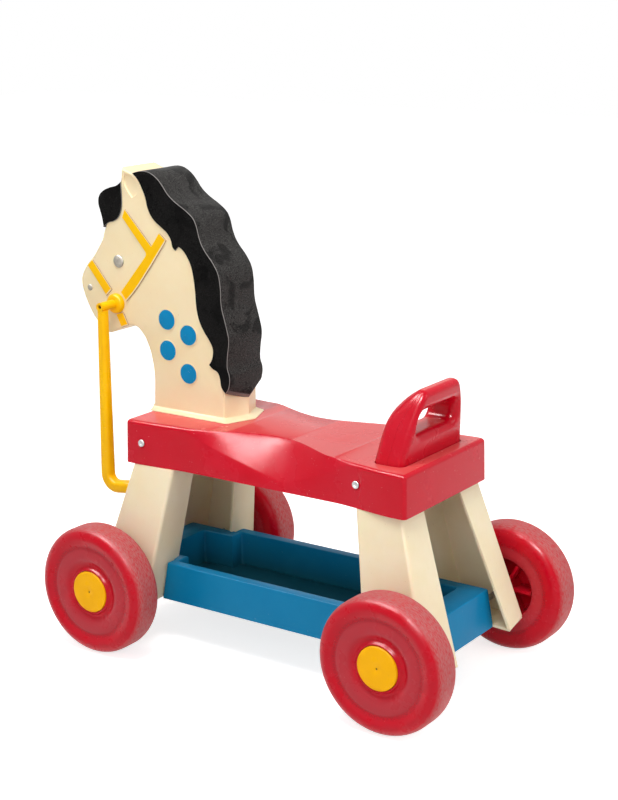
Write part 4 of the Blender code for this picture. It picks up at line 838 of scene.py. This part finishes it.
# Painted shade darkens the inside towards the floor. Two boxes, in half sizes, hold the inside.
tree = tray_blue["tree"]
apart = add(tree, "ShaderNodeVectorMath", {0: tray_blue["place"]}, operation="ABSOLUTE")
apart = add(tree, "ShaderNodeSeparateXYZ", {"Vector": apart})
within = []
for reach_x, reach_y in ((0.148, 0.0592), (0.187, 0.0418)):
    in_x = add(tree, "ShaderNodeMath", {0: apart.outputs["X"], 1: reach_x}, operation="LESS_THAN")
    in_y = add(tree, "ShaderNodeMath", {0: apart.outputs["Y"], 1: reach_y}, operation="LESS_THAN")
    both = add(tree, "ShaderNodeMath", {0: in_x, 1: in_y}, operation="MULTIPLY")
    within.append(both)
inner = add(tree, "ShaderNodeMath", {0: within[0], 1: within[1]}, operation="MAXIMUM")
depth = add(tree, "ShaderNodeMapRange", {
    "Value": apart.outputs["Z"], "From Min": TRAY_FLOOR, "From Max": TRAY_RIM - 0.003, "To Min": 0.88,
    "To Max": 0.0})
shade = add(tree, "ShaderNodeMath", {0: inner, 1: depth}, operation="MULTIPLY")
overlay(tray_blue, shade, "#12505C")
rings = [tray_outside(TRAY_BOTTOM, 0)]
edge = rounding(0, 0, TRAY_EDGE, 0, 90, 4)
rings += [tray_outside(TRAY_RIM - TRAY_EDGE + up, TRAY_EDGE - out) for out, up in edge]
rings += [tray_inside(TRAY_RIM - TRAY_EDGE + up, TRAY_EDGE - out) for out, up in reversed(edge)]
rings.append(tray_inside(TRAY_FLOOR, 0))
steps = [("DIFFERENCE", rod_along_y(AXLE_R + GAP, -0.1, 0.1, end * WHEELBASE / 2 - LEG_SHIFT, WHEEL_R))
         for end in (1, -1)]
tray = shaped(lofted(rings, bottom=False), tray_blue["material"], steps, TRAY_WALL)
put("toy_tray", [tray], TOY @ Matrix.Translation((LEG_SHIFT, 0, 0)), "horse_body", ["storage_tray"])


# Head and neck. A flat hollow moulding in cream polyethylene with soft edges and an ear pressed
# into each side. Its foot spreads into a thin flange on the seat, with a tongue through the slot.

HEAD = TOY @ Matrix.Translation((NECK_REAR, 0, SEAT_TOP))
HEAD_ROUND = 0.0025
NECK_BASE = 0.0975
KEEL_DEPTH = 0.0115
KEEL_TOP = 0.0233
KEEL_FADE = 0.009
NECK_FOOT = 0.00225
TONGUE_BOTTOM = -0.0395
FLANGE = 0.006
FLANGE_FOOT = 0.0012
FLANGE_HEIGHT = 0.0065
FLANGE_STEPS = 8
FLANGE_SUNK = 0.0004
EAR_HALF = 0.0020
# Outlines run forwards of the neck's back and upwards of the seat; a third value marks a corner.
HEAD_OUTLINE = (
    (0.0965, 0.0193), (0.0961, 0.0394), (0.0981, 0.0542), (0.1024, 0.0694), (0.1117, 0.0848),
    (0.1216, 0.0911), (0.1348, 0.0887), (0.1524, 0.0809), (0.1604, 0.0797), (0.1757, 0.0903),
    (0.1864, 0.1043), (0.1960, 0.1260), (0.1972, 0.1348), (0.1957, 0.1415), (0.1874, 0.1543),
    (0.1779, 0.1641), (0.1711, 0.1733), (0.1635, 0.1854), (0.1616, 0.1913), (0.1565, 0.2033),
    (0.1490, 0.2213), (0.1380, 0.2383), (0.1348, 0.2491), (0.1328, 0.2641, "corner"),
    (0.1192, 0.2591, "corner"), (0.1060, 0.2525), (0.0860, 0.2405), (0.0660, 0.2233),
    (0.0460, 0.2053), (0.0280, 0.1783), (0.0160, 0.1483), (0.0100, 0.1133), (0.0060, 0.0833),
    (0.0055, 0.0583),
)
EAR_OUTLINE = (
    (0.1194, 0.2320, "corner"), (0.1259, 0.2399), (0.1303, 0.2493), (0.1275, 0.2579, "corner"),
    (0.1192, 0.2560), (0.1128, 0.2470), (0.1114, 0.2380),
)


def slab(points, half, edge, grow=0.0, steps=10):
    """An outlined shape standing upright, twice the half thickness wide, with rounded edges."""
    curve = bpy.data.curves.new("outline", "CURVE")
    curve.dimensions = "2D"
    curve.fill_mode = "BOTH"
    curve.extrude = half - edge
    curve.bevel_depth = edge
    curve.bevel_resolution = 3
    curve.offset = grow - edge
    curve.resolution_u = steps
    spline = curve.splines.new("BEZIER")
    spline.bezier_points.add(len(points) - 1)
    for knot, point in zip(spline.bezier_points, points):
        knot.co = (point[0], point[1], 0)
        knot.handle_left_type = knot.handle_right_type = "VECTOR" if len(point) == 3 else "AUTO"
    spline.use_cyclic_u = True
    holder = bpy.data.objects.new("outline", curve)
    bpy.context.scene.collection.objects.link(holder)
    depsgraph = bpy.context.evaluated_depsgraph_get()
    mesh = bpy.data.meshes.new_from_object(holder.evaluated_get(depsgraph))
    bpy.data.objects.remove(holder, do_unlink=True)
    bm = bmesh.new()
    bm.from_mesh(mesh)
    bmesh.ops.remove_doubles(bm, verts=bm.verts, dist=0.00001)
    bmesh.ops.recalc_face_normals(bm, faces=bm.faces)
    bmesh.ops.rotate(bm, verts=bm.verts, cent=(0, 0, 0), matrix=Matrix.Rotation(math.pi / 2, 3, "X"))
    return bm


def head_loop():
    """The head's whole outline: the tongue and the foot of the neck, the face, and the neck's back."""
    base = [(0, NECK_FOOT), (TONGUE[0], NECK_FOOT), (TONGUE[0], TONGUE_BOTTOM),
            (TONGUE[1], TONGUE_BOTTOM), (TONGUE[1], NECK_FOOT), (NECK_BASE, NECK_FOOT)]
    back = [(0, KEEL_TOP + KEEL_FADE), (0, KEEL_TOP)]
    base, back = [[(*point, "corner") for point in line] for line in (base, back)]
    return base + list(HEAD_OUTLINE) + back


def keel():
    """The neck's back below the mane is a blunt V."""
    rings = []
    side = HEAD_HALF - 0.0010
    for z, depth in ((0.0010, KEEL_DEPTH), (KEEL_TOP, KEEL_DEPTH), (KEEL_TOP + KEEL_FADE, 0.0040)):
        left = [(0.0020, side, z), (-0.0003, side, z), (-depth * 0.85, side * 0.17, z)]
        right = [(x, -y, z) for x, y, z in left]
        rings.append([right[0], *left, (-depth, 0, z), right[2], right[1]])
    return lofted(rings)


def flange_ring(z, grow):
    """Plan section of the flange, which stands out from the neck by grow and follows its keel."""
    rear = -1.3 * grow
    side = HEAD_HALF + grow
    front = NECK_BASE + GAP
    r = 0.0015 + max(0.0, grow) * 0.3
    half = [(front, side)] + [(rear + r * (1 - math.sin(a)), side - r * (1 - math.cos(a)))
                              for a in (math.pi / 8 * i for i in range(4))]
    half.append((-KEEL_DEPTH * 0.8 - 1.4 * grow, side * 0.2))
    point = [(-KEEL_DEPTH - 1.4 * grow, 0)]
    return [(x, y, z) for x, y in half + point + [(x, -y) for x, y in reversed(half)]]


# Cream polyethylene, thicker than in the legs and yellower, with the same waxy half gloss.
head_cream = moulded_plastic(
    "cream blow-moulded polyethylene", "#F3E0B8", "#F0D8A8", haze_share=0.5, haze_mm=60, grain_mm=1.6,
    grain=0.08, roughness=0.34, fleck="#C9A070", fleck_share=0.0, skin=0.12)
flange_rings = [flange_ring(GAP, FLANGE)]
for i in range(FLANGE_STEPS + 1):
    share = i / FLANGE_STEPS
    flange_rings.append(flange_ring(FLANGE_FOOT + (FLANGE_HEIGHT - FLANGE_FOOT) * share,
                                    FLANGE * (1 - share) ** 2.4 - FLANGE_SUNK))
steps = [("UNION", lofted(flange_rings)), ("UNION", keel())]
for side in (1, -1):
    ear = moved(slab(EAR_OUTLINE, EAR_HALF, 0.0012), 0, side * (HEAD_HALF + 0.0001), 0)
    steps.append(("DIFFERENCE", ear))
steps.append(("DIFFERENCE", rod_along_y(PIN_R + GAP, -0.1, 0.1, PINS[0][1] - NECK_REAR,
                                        PIN_HEIGHT - SEAT_TOP)))
head = shaped(slab(head_loop(), HEAD_HALF, HEAD_ROUND), head_cream["material"], steps)
put("horse_head", [head], HEAD, "horse_body", ["head_neck"])


# Mane and forelock. Two black mouldings that clip over the edge of the head, with scalloped locks
# and flat sides. The mane's rounded back is greyed by dust and by a painted sheen, and has a soft crease.

HAIR_HALF = 0.0301
CREASE_OUT = 0.0012
# The crease runs out into a point at the mane's lower end: where it starts, and how far it goes.
TIP_START = 0.047
TIP_LENGTH = 0.014
TIP_OUT = 0.0068
TIP_DOWN = 0.0095
MANE_FRONT = (
    (-0.0026, 0.0318, "corner"), (0.0026, 0.0384), (0.0041, 0.0470), (0.0069, 0.0535),
    (0.0140, 0.0569), (0.0185, 0.0607, "corner"), (0.0150, 0.0661), (0.0131, 0.0721),
    (0.0134, 0.0799), (0.0180, 0.0880), (0.0248, 0.0969), (0.0306, 0.1078), (0.0338, 0.1210),
    (0.0353, 0.1411), (0.0369, 0.1528), (0.0396, 0.1645), (0.0443, 0.1739), (0.0516, 0.1821),
    (0.0558, 0.1843, "corner"), (0.0605, 0.1799, "corner"), (0.0640, 0.1830), (0.0663, 0.1907),
    (0.0711, 0.1977), (0.0785, 0.2031), (0.0872, 0.2088), (0.0939, 0.2162), (0.0975, 0.2239),
    (0.0996, 0.2326), (0.1038, 0.2423), (0.1098, 0.2522), (0.1172, 0.2591, "corner"),
)
MANE_BACK = (
    (0.1055, 0.2619), (0.0965, 0.2619), (0.0891, 0.2594), (0.0816, 0.2545), (0.0755, 0.2481),
    (0.0696, 0.2407), (0.0622, 0.2343), (0.0427, 0.2226), (0.0355, 0.2168), (0.0320, 0.2112),
    (0.0270, 0.1950), (0.0229, 0.1866), (0.0087, 0.1693), (0.0035, 0.1600), (0.0013, 0.1494),
    (-0.0003, 0.1247), (-0.0036, 0.1126), (-0.0067, 0.1015), (-0.0088, 0.0913),
    (-0.0066, 0.0709), (-0.0063, 0.0600), (-0.0090, 0.0507), (-0.0083, 0.0409),
    (-0.0063, 0.0357),
)
FORELOCK_OUTLINE = (
    (0.1334, 0.2489, "corner"), (0.1327, 0.2350), (0.1330, 0.2229), (0.1345, 0.2167),
    (0.1388, 0.2094), (0.1450, 0.2051), (0.1532, 0.2026), (0.1574, 0.1995),
    (0.1603, 0.1970, "corner"), (0.1624, 0.2084), (0.1646, 0.2153), (0.1668, 0.2236),
    (0.1653, 0.2315), (0.1595, 0.2373), (0.1509, 0.2412), (0.1396, 0.2446),
)


def crease(bm):
    """Split the mane's back along its middle and draw the middle out a little."""
    back = [face for face in bm.faces if abs(face.normal.y) < 0.5]
    geometry = {*back, *(edge for face in back for edge in face.edges),
                *(vert for face in back for vert in face.verts)}
    bmesh.ops.bisect_plane(bm, geom=list(geometry), plane_co=(0, 0, 0), plane_no=(0, 1, 0))
    for vert in bm.verts:
        if abs(vert.co.y) < 1e-6:
            low = smooth_step((TIP_START - vert.co.z) / TIP_LENGTH)
            vert.co.x -= CREASE_OUT + TIP_OUT * low
            vert.co.z -= TIP_DOWN * low
    return bm


# Black polyethylene, which shows every grain of dust on its back and stays deep black beside it. The grey on
# its back is partly a painted sheen.
hair_black = moulded_plastic(
    "black moulded polyethylene", "#060606", "#0D0C0C", haze_share=0.8, haze_mm=25, grain_mm=1.2, grain=0.20,
    roughness=0.28, fleck="#6A6662", fleck_share=0.0, shine=0.03)
tree = hair_black["tree"]
facing = add(tree, "ShaderNodeSeparateXYZ", {"Vector": add(tree, "ShaderNodeTexCoord").outputs["Normal"]})
sideways = add(tree, "ShaderNodeMath", {0: facing.outputs["Y"]}, operation="ABSOLUTE")
# The back, away from the flat sides, is greyed: dust grains and a painted sheen.
back = add(tree, "ShaderNodeMapRange", {
    "Value": sideways, "From Min": 0.25, "From Max": 0.75, "To Min": 1.0, "To Max": 0.12})
# Dust grains of 0.8 mm lie thick on the back, except on patches some 20 mm wide that hands keep
# clean. The noise is drawn at 34 mm so that its cleaned patches come out that wide.
grains = add(tree, "ShaderNodeTexNoise", {
    "Vector": hair_black["place"], "Scale": 1000 / 0.8, "Detail": 2.0, "Roughness": 0.8})
grains = add(tree, "ShaderNodeMapRange", {"Value": grains, "From Min": 0.40, "From Max": 0.72})
patches = add(tree, "ShaderNodeTexNoise", {
    "Vector": hair_black["place"], "Scale": 1000 / 34, "Detail": 3.0, "Distortion": 0.8})
patches = add(tree, "ShaderNodeMapRange", {
    "Value": patches, "From Min": 0.53, "From Max": 0.59, "To Min": 1.0, "To Max": 0.40})
dust_and_sheen = add(tree, "ShaderNodeMath", {0: grains, 1: patches}, operation="MULTIPLY")
dust_and_sheen = add(tree, "ShaderNodeMath", {0: dust_and_sheen, 1: back}, operation="MULTIPLY")
overlay(hair_black, dust_and_sheen, "#5E5C5A")
# A thin pale line on the rounded edges is a painted highlight.
rounded = add(tree, "ShaderNodeMapRange", {"Value": sideways, "From Min": 0.20, "From Max": 0.45})
flat = add(tree, "ShaderNodeMapRange", {
    "Value": sideways, "From Min": 0.70, "From Max": 0.92, "To Min": 0.6, "To Max": 0.0})
painted_sheen = add(tree, "ShaderNodeMath", {0: rounded, 1: flat}, operation="MULTIPLY")
overlay(hair_black, painted_sheen, "#B4B0AC")
duller = add(tree, "ShaderNodeMath", {0: dust_and_sheen, 1: 0.35, 2: hair_black["roughness"]}, operation="MULTIPLY_ADD")
tree.links.new(duller.outputs[0], hair_black["shader"].inputs["Roughness"])
for node, outline in (("mane", MANE_FRONT + MANE_BACK), ("forelock", FORELOCK_OUTLINE)):
    hair = slab(outline, HAIR_HALF, 0.0010)
    if node == "mane":
        crease(hair)
    groove = slab(head_loop(), HEAD_HALF + GAP, 0.0005, 0.0004)
    put("clip_on_" + node, [shaped(hair, hair_black["material"], [("DIFFERENCE", groove)])], HEAD,
        "horse_body", [node])


# Halter straps and spots. Printed vinyl labels on the head, amber and blue, each with a thin cream
# margin. A thin brown line along the straps' lower rear edges is a painted shadow of their edge.

CHEEK_STRAP = (
    (0.1293, 0.2188, "corner"), (0.0936, 0.1814, "corner"), (0.0822, 0.1968, "corner"),
    (0.0743, 0.1902, "corner"), (0.0865, 0.1739), (0.0989, 0.1575), (0.1198, 0.1315),
    (0.1318, 0.1194, "corner"), (0.1385, 0.1273, "corner"), (0.1029, 0.1690, "corner"),
    (0.1012, 0.1726), (0.1049, 0.1784, "corner"), (0.1332, 0.2101, "corner"),
)
NOSE_STRAP = ((0.1788, 0.1593, "corner"), (0.1531, 0.1297, "corner"), (0.1606, 0.1226, "corner"),
              (0.1858, 0.1530, "corner"))
CHIN_STRAP = ((0.1463, 0.1013, "corner"), (0.1371, 0.1046, "corner"), (0.1309, 0.0924, "corner"),
              (0.1397, 0.0890, "corner"))
SPOT_R = 0.0109
SPOTS = ((0.0749, 0.1035), (0.0458, 0.0897), (0.0745, 0.0696), (0.0467, 0.0472))


def vinyl(name, colour, worn):
    """Printed vinyl film: flat colour with a faint mottle, and a smooth surface."""
    return moulded_plastic(
        name, colour, worn, haze_share=0.6, haze_mm=12, grain_mm=1.0, grain=0.04, roughness=0.38,
        fleck_share=0.0, shine=0.10)["material"]


cream_vinyl = vinyl("cream vinyl margin", "#EEDDB4", "#E6D09C")
# The brown film, shifted to the rear and down, is a painted shadow along the straps' lower rear edges.
edge_shadow_vinyl = vinyl("brown vinyl painted as edge shadow", "#A4641A", "#8C5216")
amber_vinyl = vinyl("amber printed vinyl", "#FFC600", "#FCBE00")
blue_vinyl = vinyl("blue printed vinyl", "#0084BA", "#007CB0")
# Each layer: its film, half thickness, margin, and shift to the rear and down.
STRAP_LAYERS = ((edge_shadow_vinyl, 0.00030, 0.0007, -0.0009, -0.0007),
                (cream_vinyl, 0.00034, 0.0007, -0.0006, -0.0005), (amber_vinyl, 0.00038, 0.0, 0, 0))
SPOT_LAYERS = ((cream_vinyl, 0.00030, 0.0011), (blue_vinyl, 0.00036, 0.0))
LABEL_EDGE = 0.0001
LABEL_LIFT = 0.0006
turns = [2 * math.pi * i / 8 for i in range(8)]
for side, side_name in ((1, "left"), (-1, "right")):
    lying = side * (HEAD_HALF + LABEL_LIFT)
    for part, outline in (("cheek", CHEEK_STRAP), ("nose", NOSE_STRAP), ("chin", CHIN_STRAP)):
        layers = [shaped(moved(slab(outline, half, LABEL_EDGE, margin, 6), x, lying, z), film)
                  for film, half, margin, x, z in STRAP_LAYERS]
        put(f"{part}_strap_{side_name}", layers, HEAD, "horse_body", [f"{part}_strap_label_{side_name}"])
    for number, (x, z) in enumerate(SPOTS, 1):
        circle = [(x + SPOT_R * math.cos(a), z + SPOT_R * math.sin(a)) for a in turns]
        layers = [shaped(moved(slab(circle, half, LABEL_EDGE, margin), 0, lying, 0), film)
                  for film, half, margin in SPOT_LAYERS]
        put(f"round_spot_{side_name}_{number}", layers, HEAD, "horse_body",
            [f"spot_label_{side_name}_{number}"])


# Eyes and nostrils. Pressed steel domes, dull and grey with age, on shanks that are pushed into
# the head from each side.

# Each stud: its place on the head, and its radius, height and shank's radius.
STUDS = (("eye", (0.1408, 0.1613), 0.0070, 0.0022, 0.0025),
         ("nostril", (0.1838, 0.1281), 0.0035, 0.0012, 0.0015))
SHANK_DEPTH = 0.008

# Steel that was once bright, gone dull and warm grey.
stud_grey = metal("dull grey steel dome", "#A09B92", "#645F56", 0.48, 4)
crown = HEAD_HALF + GAP
shank_end = HEAD_HALF - SHANK_DEPTH
for part, (x, z), radius, height, shank in STUDS:
    lift = 0.15 * height
    dome = [(radius * math.sin(a), crown + lift + (height - lift) * math.cos(a))
            for a in (math.pi / 2 * i / 12 for i in range(13))]
    dome += [(radius, crown), (shank, crown), (shank, shank_end), (0, shank_end)]
    stud = made_by(turn_profile, profile_mesh(dome), {"Sides": 40, "Plastic": stud_grey})
    for side, side_name in ((1, "left"), (-1, "right")):
        place = HEAD @ Matrix.Translation((x, 0, z)) @ Matrix.Rotation(-side * math.pi / 2, 4, "X")
        put(f"{part}_dome_{side_name}", [stud], place, "horse_body", [f"{part}_stud_{side_name}"])


# Reins. One stiff yellow moulding that swings on a rod through the mouth. Each arm has a disc
# against the cheek and a short shaft, and the two are joined by a grip at the bottom.

BIT = (0.1455, 0.1143)
BIT_R = 0.0020
DISC = ((0.0110, 0), (0.0110, 0.0032), (0.0107, 0.0044), (0.0099, 0.0054), (0.0086, 0.0061),
        (0.0060, 0.0066))
SHAFT_R = 0.0048
SHAFT_END = 0.0580
ARM_Y = 0.0525
ARM_DROP = 0.2025
ARM_TOP = -0.004
ARM_SECTION = (0.0103, 0.0106)
ARM_CORNER = 0.0036
ARM_GROWTH = 1.32
ARM_SLANT = 0.0012
ARM_BEND = 0.014
GRIP_SLOPE = 0.06
GRIP_BACK = 0.035
GRIP_BEND = 0.009
# The web that stiffens the corner between shaft and arm: its reach along each, and half thickness.
WEB_REACH = (0.0075, 0.0130)
WEB_HALF = 0.0020


def path_tree():
    """Geometry Nodes that carry a soft-edged section along a path of edges. The attribute growth
    on the path's points says how much larger the section is there."""
    tree, given = start_tree("moulded along a path", (("Path", "Geometry"), ("Depth", "Float"),
                                                      ("Breadth", "Float"), ("Corner", "Float"),
                                                      ("Plastic", "Material")))
    line = add(tree, "GeometryNodeMeshToCurve", {"Mesh": given["Path"]})
    growth = add(tree, "GeometryNodeInputNamedAttribute", {"Name": "growth"}, data_type="FLOAT")
    section = add(tree, "GeometryNodeCurvePrimitiveQuadrilateral", {
        "Width": given["Depth"], "Height": given["Breadth"]})
    soft = add(tree, "GeometryNodeFilletCurve", {
        "Curve": section, "Count": 5, "Radius": given["Corner"]}, mode="POLY")
    swept = add(tree, "GeometryNodeCurveToMesh", {
        "Curve": line, "Profile Curve": soft, "Scale": growth, "Fill Caps": True})
    whole = add(tree, "GeometryNodeRealizeInstances", {"Geometry": swept})
    dressed = add(tree, "GeometryNodeSetMaterial", {"Geometry": whole, "Material": given["Plastic"]})
    add(tree, "NodeGroupOutput", {"Piece": dressed})
    return tree


def grip_level(x):
    return -ARM_DROP + GRIP_SLOPE * (ARM_SLANT - x)


# The left arm from the mouth down, round the lower corner and back to the grip, then its mirror.
down = rounding(ARM_SLANT - ARM_BEND, grip_level(ARM_SLANT) + ARM_BEND, ARM_BEND, 0, -90, 10)
across = rounding(GRIP_BEND - GRIP_BACK, ARM_Y - GRIP_BEND, GRIP_BEND, 90, 180, 8)
left = [(ARM_SLANT * i / 12, ARM_Y, ARM_TOP - (ARM_DROP - ARM_BEND + ARM_TOP) * i / 12) for i in range(12)]
left += [(x, ARM_Y, z) for x, z in down] + [(x, y, grip_level(x)) for x, y in across]
path = left + [(x, -y, z) for x, y, z in reversed(left)]
path_mesh = bpy.data.meshes.new("path")
path_mesh.from_pydata(path, [(i, i + 1) for i in range(len(path) - 1)], [])
growth = path_mesh.attributes.new("growth", "FLOAT", "POINT")
for value, point in zip(growth.data, path):
    value.value = 1 + (ARM_GROWTH - 1) * min(1, -point[2] / ARM_DROP)
# Bright yellow polypropylene, smooth and slightly glossy, duller where hands have held it.
rein_yellow = moulded_plastic(
    "yellow moulded polypropylene", "#FFC400", "#F8B800", haze_share=0.6, haze_mm=35, grain_mm=1.3,
    grain=0.07, roughness=0.28, fleck_share=0.0, shine=0.14)
bars = made_by(path_tree(), path_mesh, {
    "Depth": ARM_SECTION[0], "Breadth": ARM_SECTION[1], "Corner": ARM_CORNER,
    "Plastic": rein_yellow["material"]})
arms = bmesh.new()
arms.from_mesh(bars)
bmesh.ops.remove_doubles(arms, verts=arms.verts, dist=0.00001)
bmesh.ops.recalc_face_normals(arms, faces=arms.faces)
cheek = HEAD_HALF + GAP
turns = [2 * math.pi * i / 48 for i in range(48)]
web_y, web_z = ARM_Y - 0.0035, -SHAFT_R + 0.0015
web_curve = [(web_y - WEB_REACH[0] * (1 - math.sin(a)), web_z - WEB_REACH[1] * (1 - math.cos(a)))
             for a in (math.pi / 2 * i / 8 for i in range(9))] + [(web_y, web_z)]
steps = []
for side in (1, -1):
    disc = lofted([[(radius * math.cos(a), cheek + out, -radius * math.sin(a)) for a in turns]
                   for radius, out in DISC])
    shaft = rod_along_y(SHAFT_R, cheek + 0.003, SHAFT_END, 0, 0, 40)
    web = lofted([[(x, y, z) for y, z in web_curve] for x in (-WEB_HALF, WEB_HALF)])
    bmesh.ops.recalc_face_normals(web, faces=web.faces)
    steps += [("UNION", to_corner(shape, 1, side, 0)) for shape in (disc, shaft, web)]
steps.append(("DIFFERENCE", rod_along_y(BIT_R + GAP, -0.1, 0.1, 0, 0, 24)))
reins = shaped(arms, rein_yellow["material"], steps)
put("swinging_reins", [reins], HEAD @ Matrix.Translation((BIT[0], 0, BIT[1])), "reins", ["reins_bar"])


# Floor, light and camera. A pale floor that runs out to white, soft boxes above, beside and behind
# the toy, two more that only glint in its gloss, and the camera where the photograph's own
# perspective puts it.

FLOOR_REACH = 6
FLOOR_HEIGHT = -0.0005


def glowing_white(name, share):
    """A pale matt floor that the camera sees close to white, but which still takes a shadow."""
    material = bpy.data.materials.new(name)
    material.use_nodes = True
    tree = material.node_tree
    tree.nodes.clear()
    matt = add(tree, "ShaderNodeBsdfDiffuse", {"Color": (0.82, 0.82, 0.82, 1)})
    amount = add(tree, "ShaderNodeMath", {0: background_rays(tree), 1: share}, operation="MULTIPLY")
    glow = add(tree, "ShaderNodeEmission", {"Color": (1, 1, 1, 1), "Strength": amount})
    mix = add(tree, "ShaderNodeAddShader", {0: matt, 1: glow})
    add(tree, "ShaderNodeOutputMaterial", {"Surface": mix})
    return material


def background_rays(tree):
    """1 for the rays that should meet the white background: seen, mirrored or passing through."""
    rays = add(tree, "ShaderNodeLightPath")
    seen = add(tree, "ShaderNodeMath", {
        0: rays.outputs["Is Camera Ray"], 1: rays.outputs["Is Glossy Ray"]}, operation="MAXIMUM")
    return add(tree, "ShaderNodeMath", {
        0: seen, 1: rays.outputs["Is Transmission Ray"]}, operation="MAXIMUM").outputs[0]


floor_mesh = bpy.data.meshes.new("floor")
floor_mesh.from_pydata([(x * FLOOR_REACH, y * FLOOR_REACH, FLOOR_HEIGHT)
                        for x, y in ((-1, -1), (1, -1), (1, 1), (-1, 1))], [], [(0, 1, 2, 3)])
floor_mesh.materials.append(glowing_white("white studio floor", 0.72))
floor = bpy.data.objects.new("studio_floor", floor_mesh)
bpy.context.scene.collection.objects.link(floor)

world = bpy.data.worlds.new("studio")
bpy.context.scene.world = world
world.use_nodes = True
tree = world.node_tree
tree.nodes.clear()
dim = add(tree, "ShaderNodeBackground", {"Color": (1, 1, 1, 1), "Strength": 0.42})
white = add(tree, "ShaderNodeBackground", {"Color": (1, 1, 1, 1), "Strength": 1.0})
mix = add(tree, "ShaderNodeMixShader", {0: background_rays(tree), 1: dim, 2: white})
add(tree, "ShaderNodeOutputWorld", {"Surface": mix})


def soft_box(name, place, target, width, height, watts, mirrored_only=False):
    """A rectangular lamp that faces its target. One that is mirrored only lights no matt surface."""
    lamp = bpy.data.lights.new(name, "AREA")
    lamp.shape = "RECTANGLE"
    lamp.size = width
    lamp.size_y = height
    lamp.energy = watts
    obj = bpy.data.objects.new(name, lamp)
    obj.location = place
    obj.rotation_euler = (Vector(target) - Vector(place)).to_track_quat("-Z", "Y").to_euler()
    bpy.context.scene.collection.objects.link(obj)
    if mirrored_only:
        obj.visible_diffuse = False


soft_box("soft_box_above", (-0.1, 0.5, 1.8), (0, 0, 0.25), 0.7, 0.7, 20)
soft_box("soft_box_near", (-0.9, 2.2, 1.3), (0, 0, 0.25), 1.2, 1.2, 11)
soft_box("soft_box_rear", (-2.0, -0.4, 1.0), (0, 0, 0.25), 0.8, 1.2, 12)
# Highlights along the rounded edges and in the scoops come from boxes that light nothing else.
soft_box("highlight_box", (0.46, 0.74, 1.46), (0, 0, 0.22), 1.3, 0.45, 72, mirrored_only=True)
soft_box("highlight_box_small", (-0.72, 1.02, 1.25), (0, 0, 0.15), 0.40, 0.40, 40, mirrored_only=True)

AZIMUTH = math.radians(214.84)
ELEVATION = math.radians(14.10)
ROLL = math.radians(-0.50)
CAMERA_PLACE = (-0.98385, 1.39157, 0.72096)
back = Vector((math.sin(AZIMUTH) * math.cos(ELEVATION), -math.cos(AZIMUTH) * math.cos(ELEVATION),
               math.sin(ELEVATION)))
level = Vector((0, 0, 1)).cross(back).normalized()
above = back.cross(level)
right = level * math.cos(ROLL) + above * math.sin(ROLL)
up = above * math.cos(ROLL) - level * math.sin(ROLL)
turn = Matrix((right, up, back)).transposed().to_4x4()
lens = bpy.data.cameras.new("camera")
lens.lens = 75.11
lens.sensor_width = 36
lens.shift_x = 0.00575
lens.shift_y = -0.0209
camera = bpy.data.objects.new("camera", lens)
camera.matrix_world = Matrix.Translation(CAMERA_PLACE) @ turn
bpy.context.scene.collection.objects.link(camera)
bpy.context.scene.camera = camera
bpy.context.scene.view_settings.view_transform = "Standard"
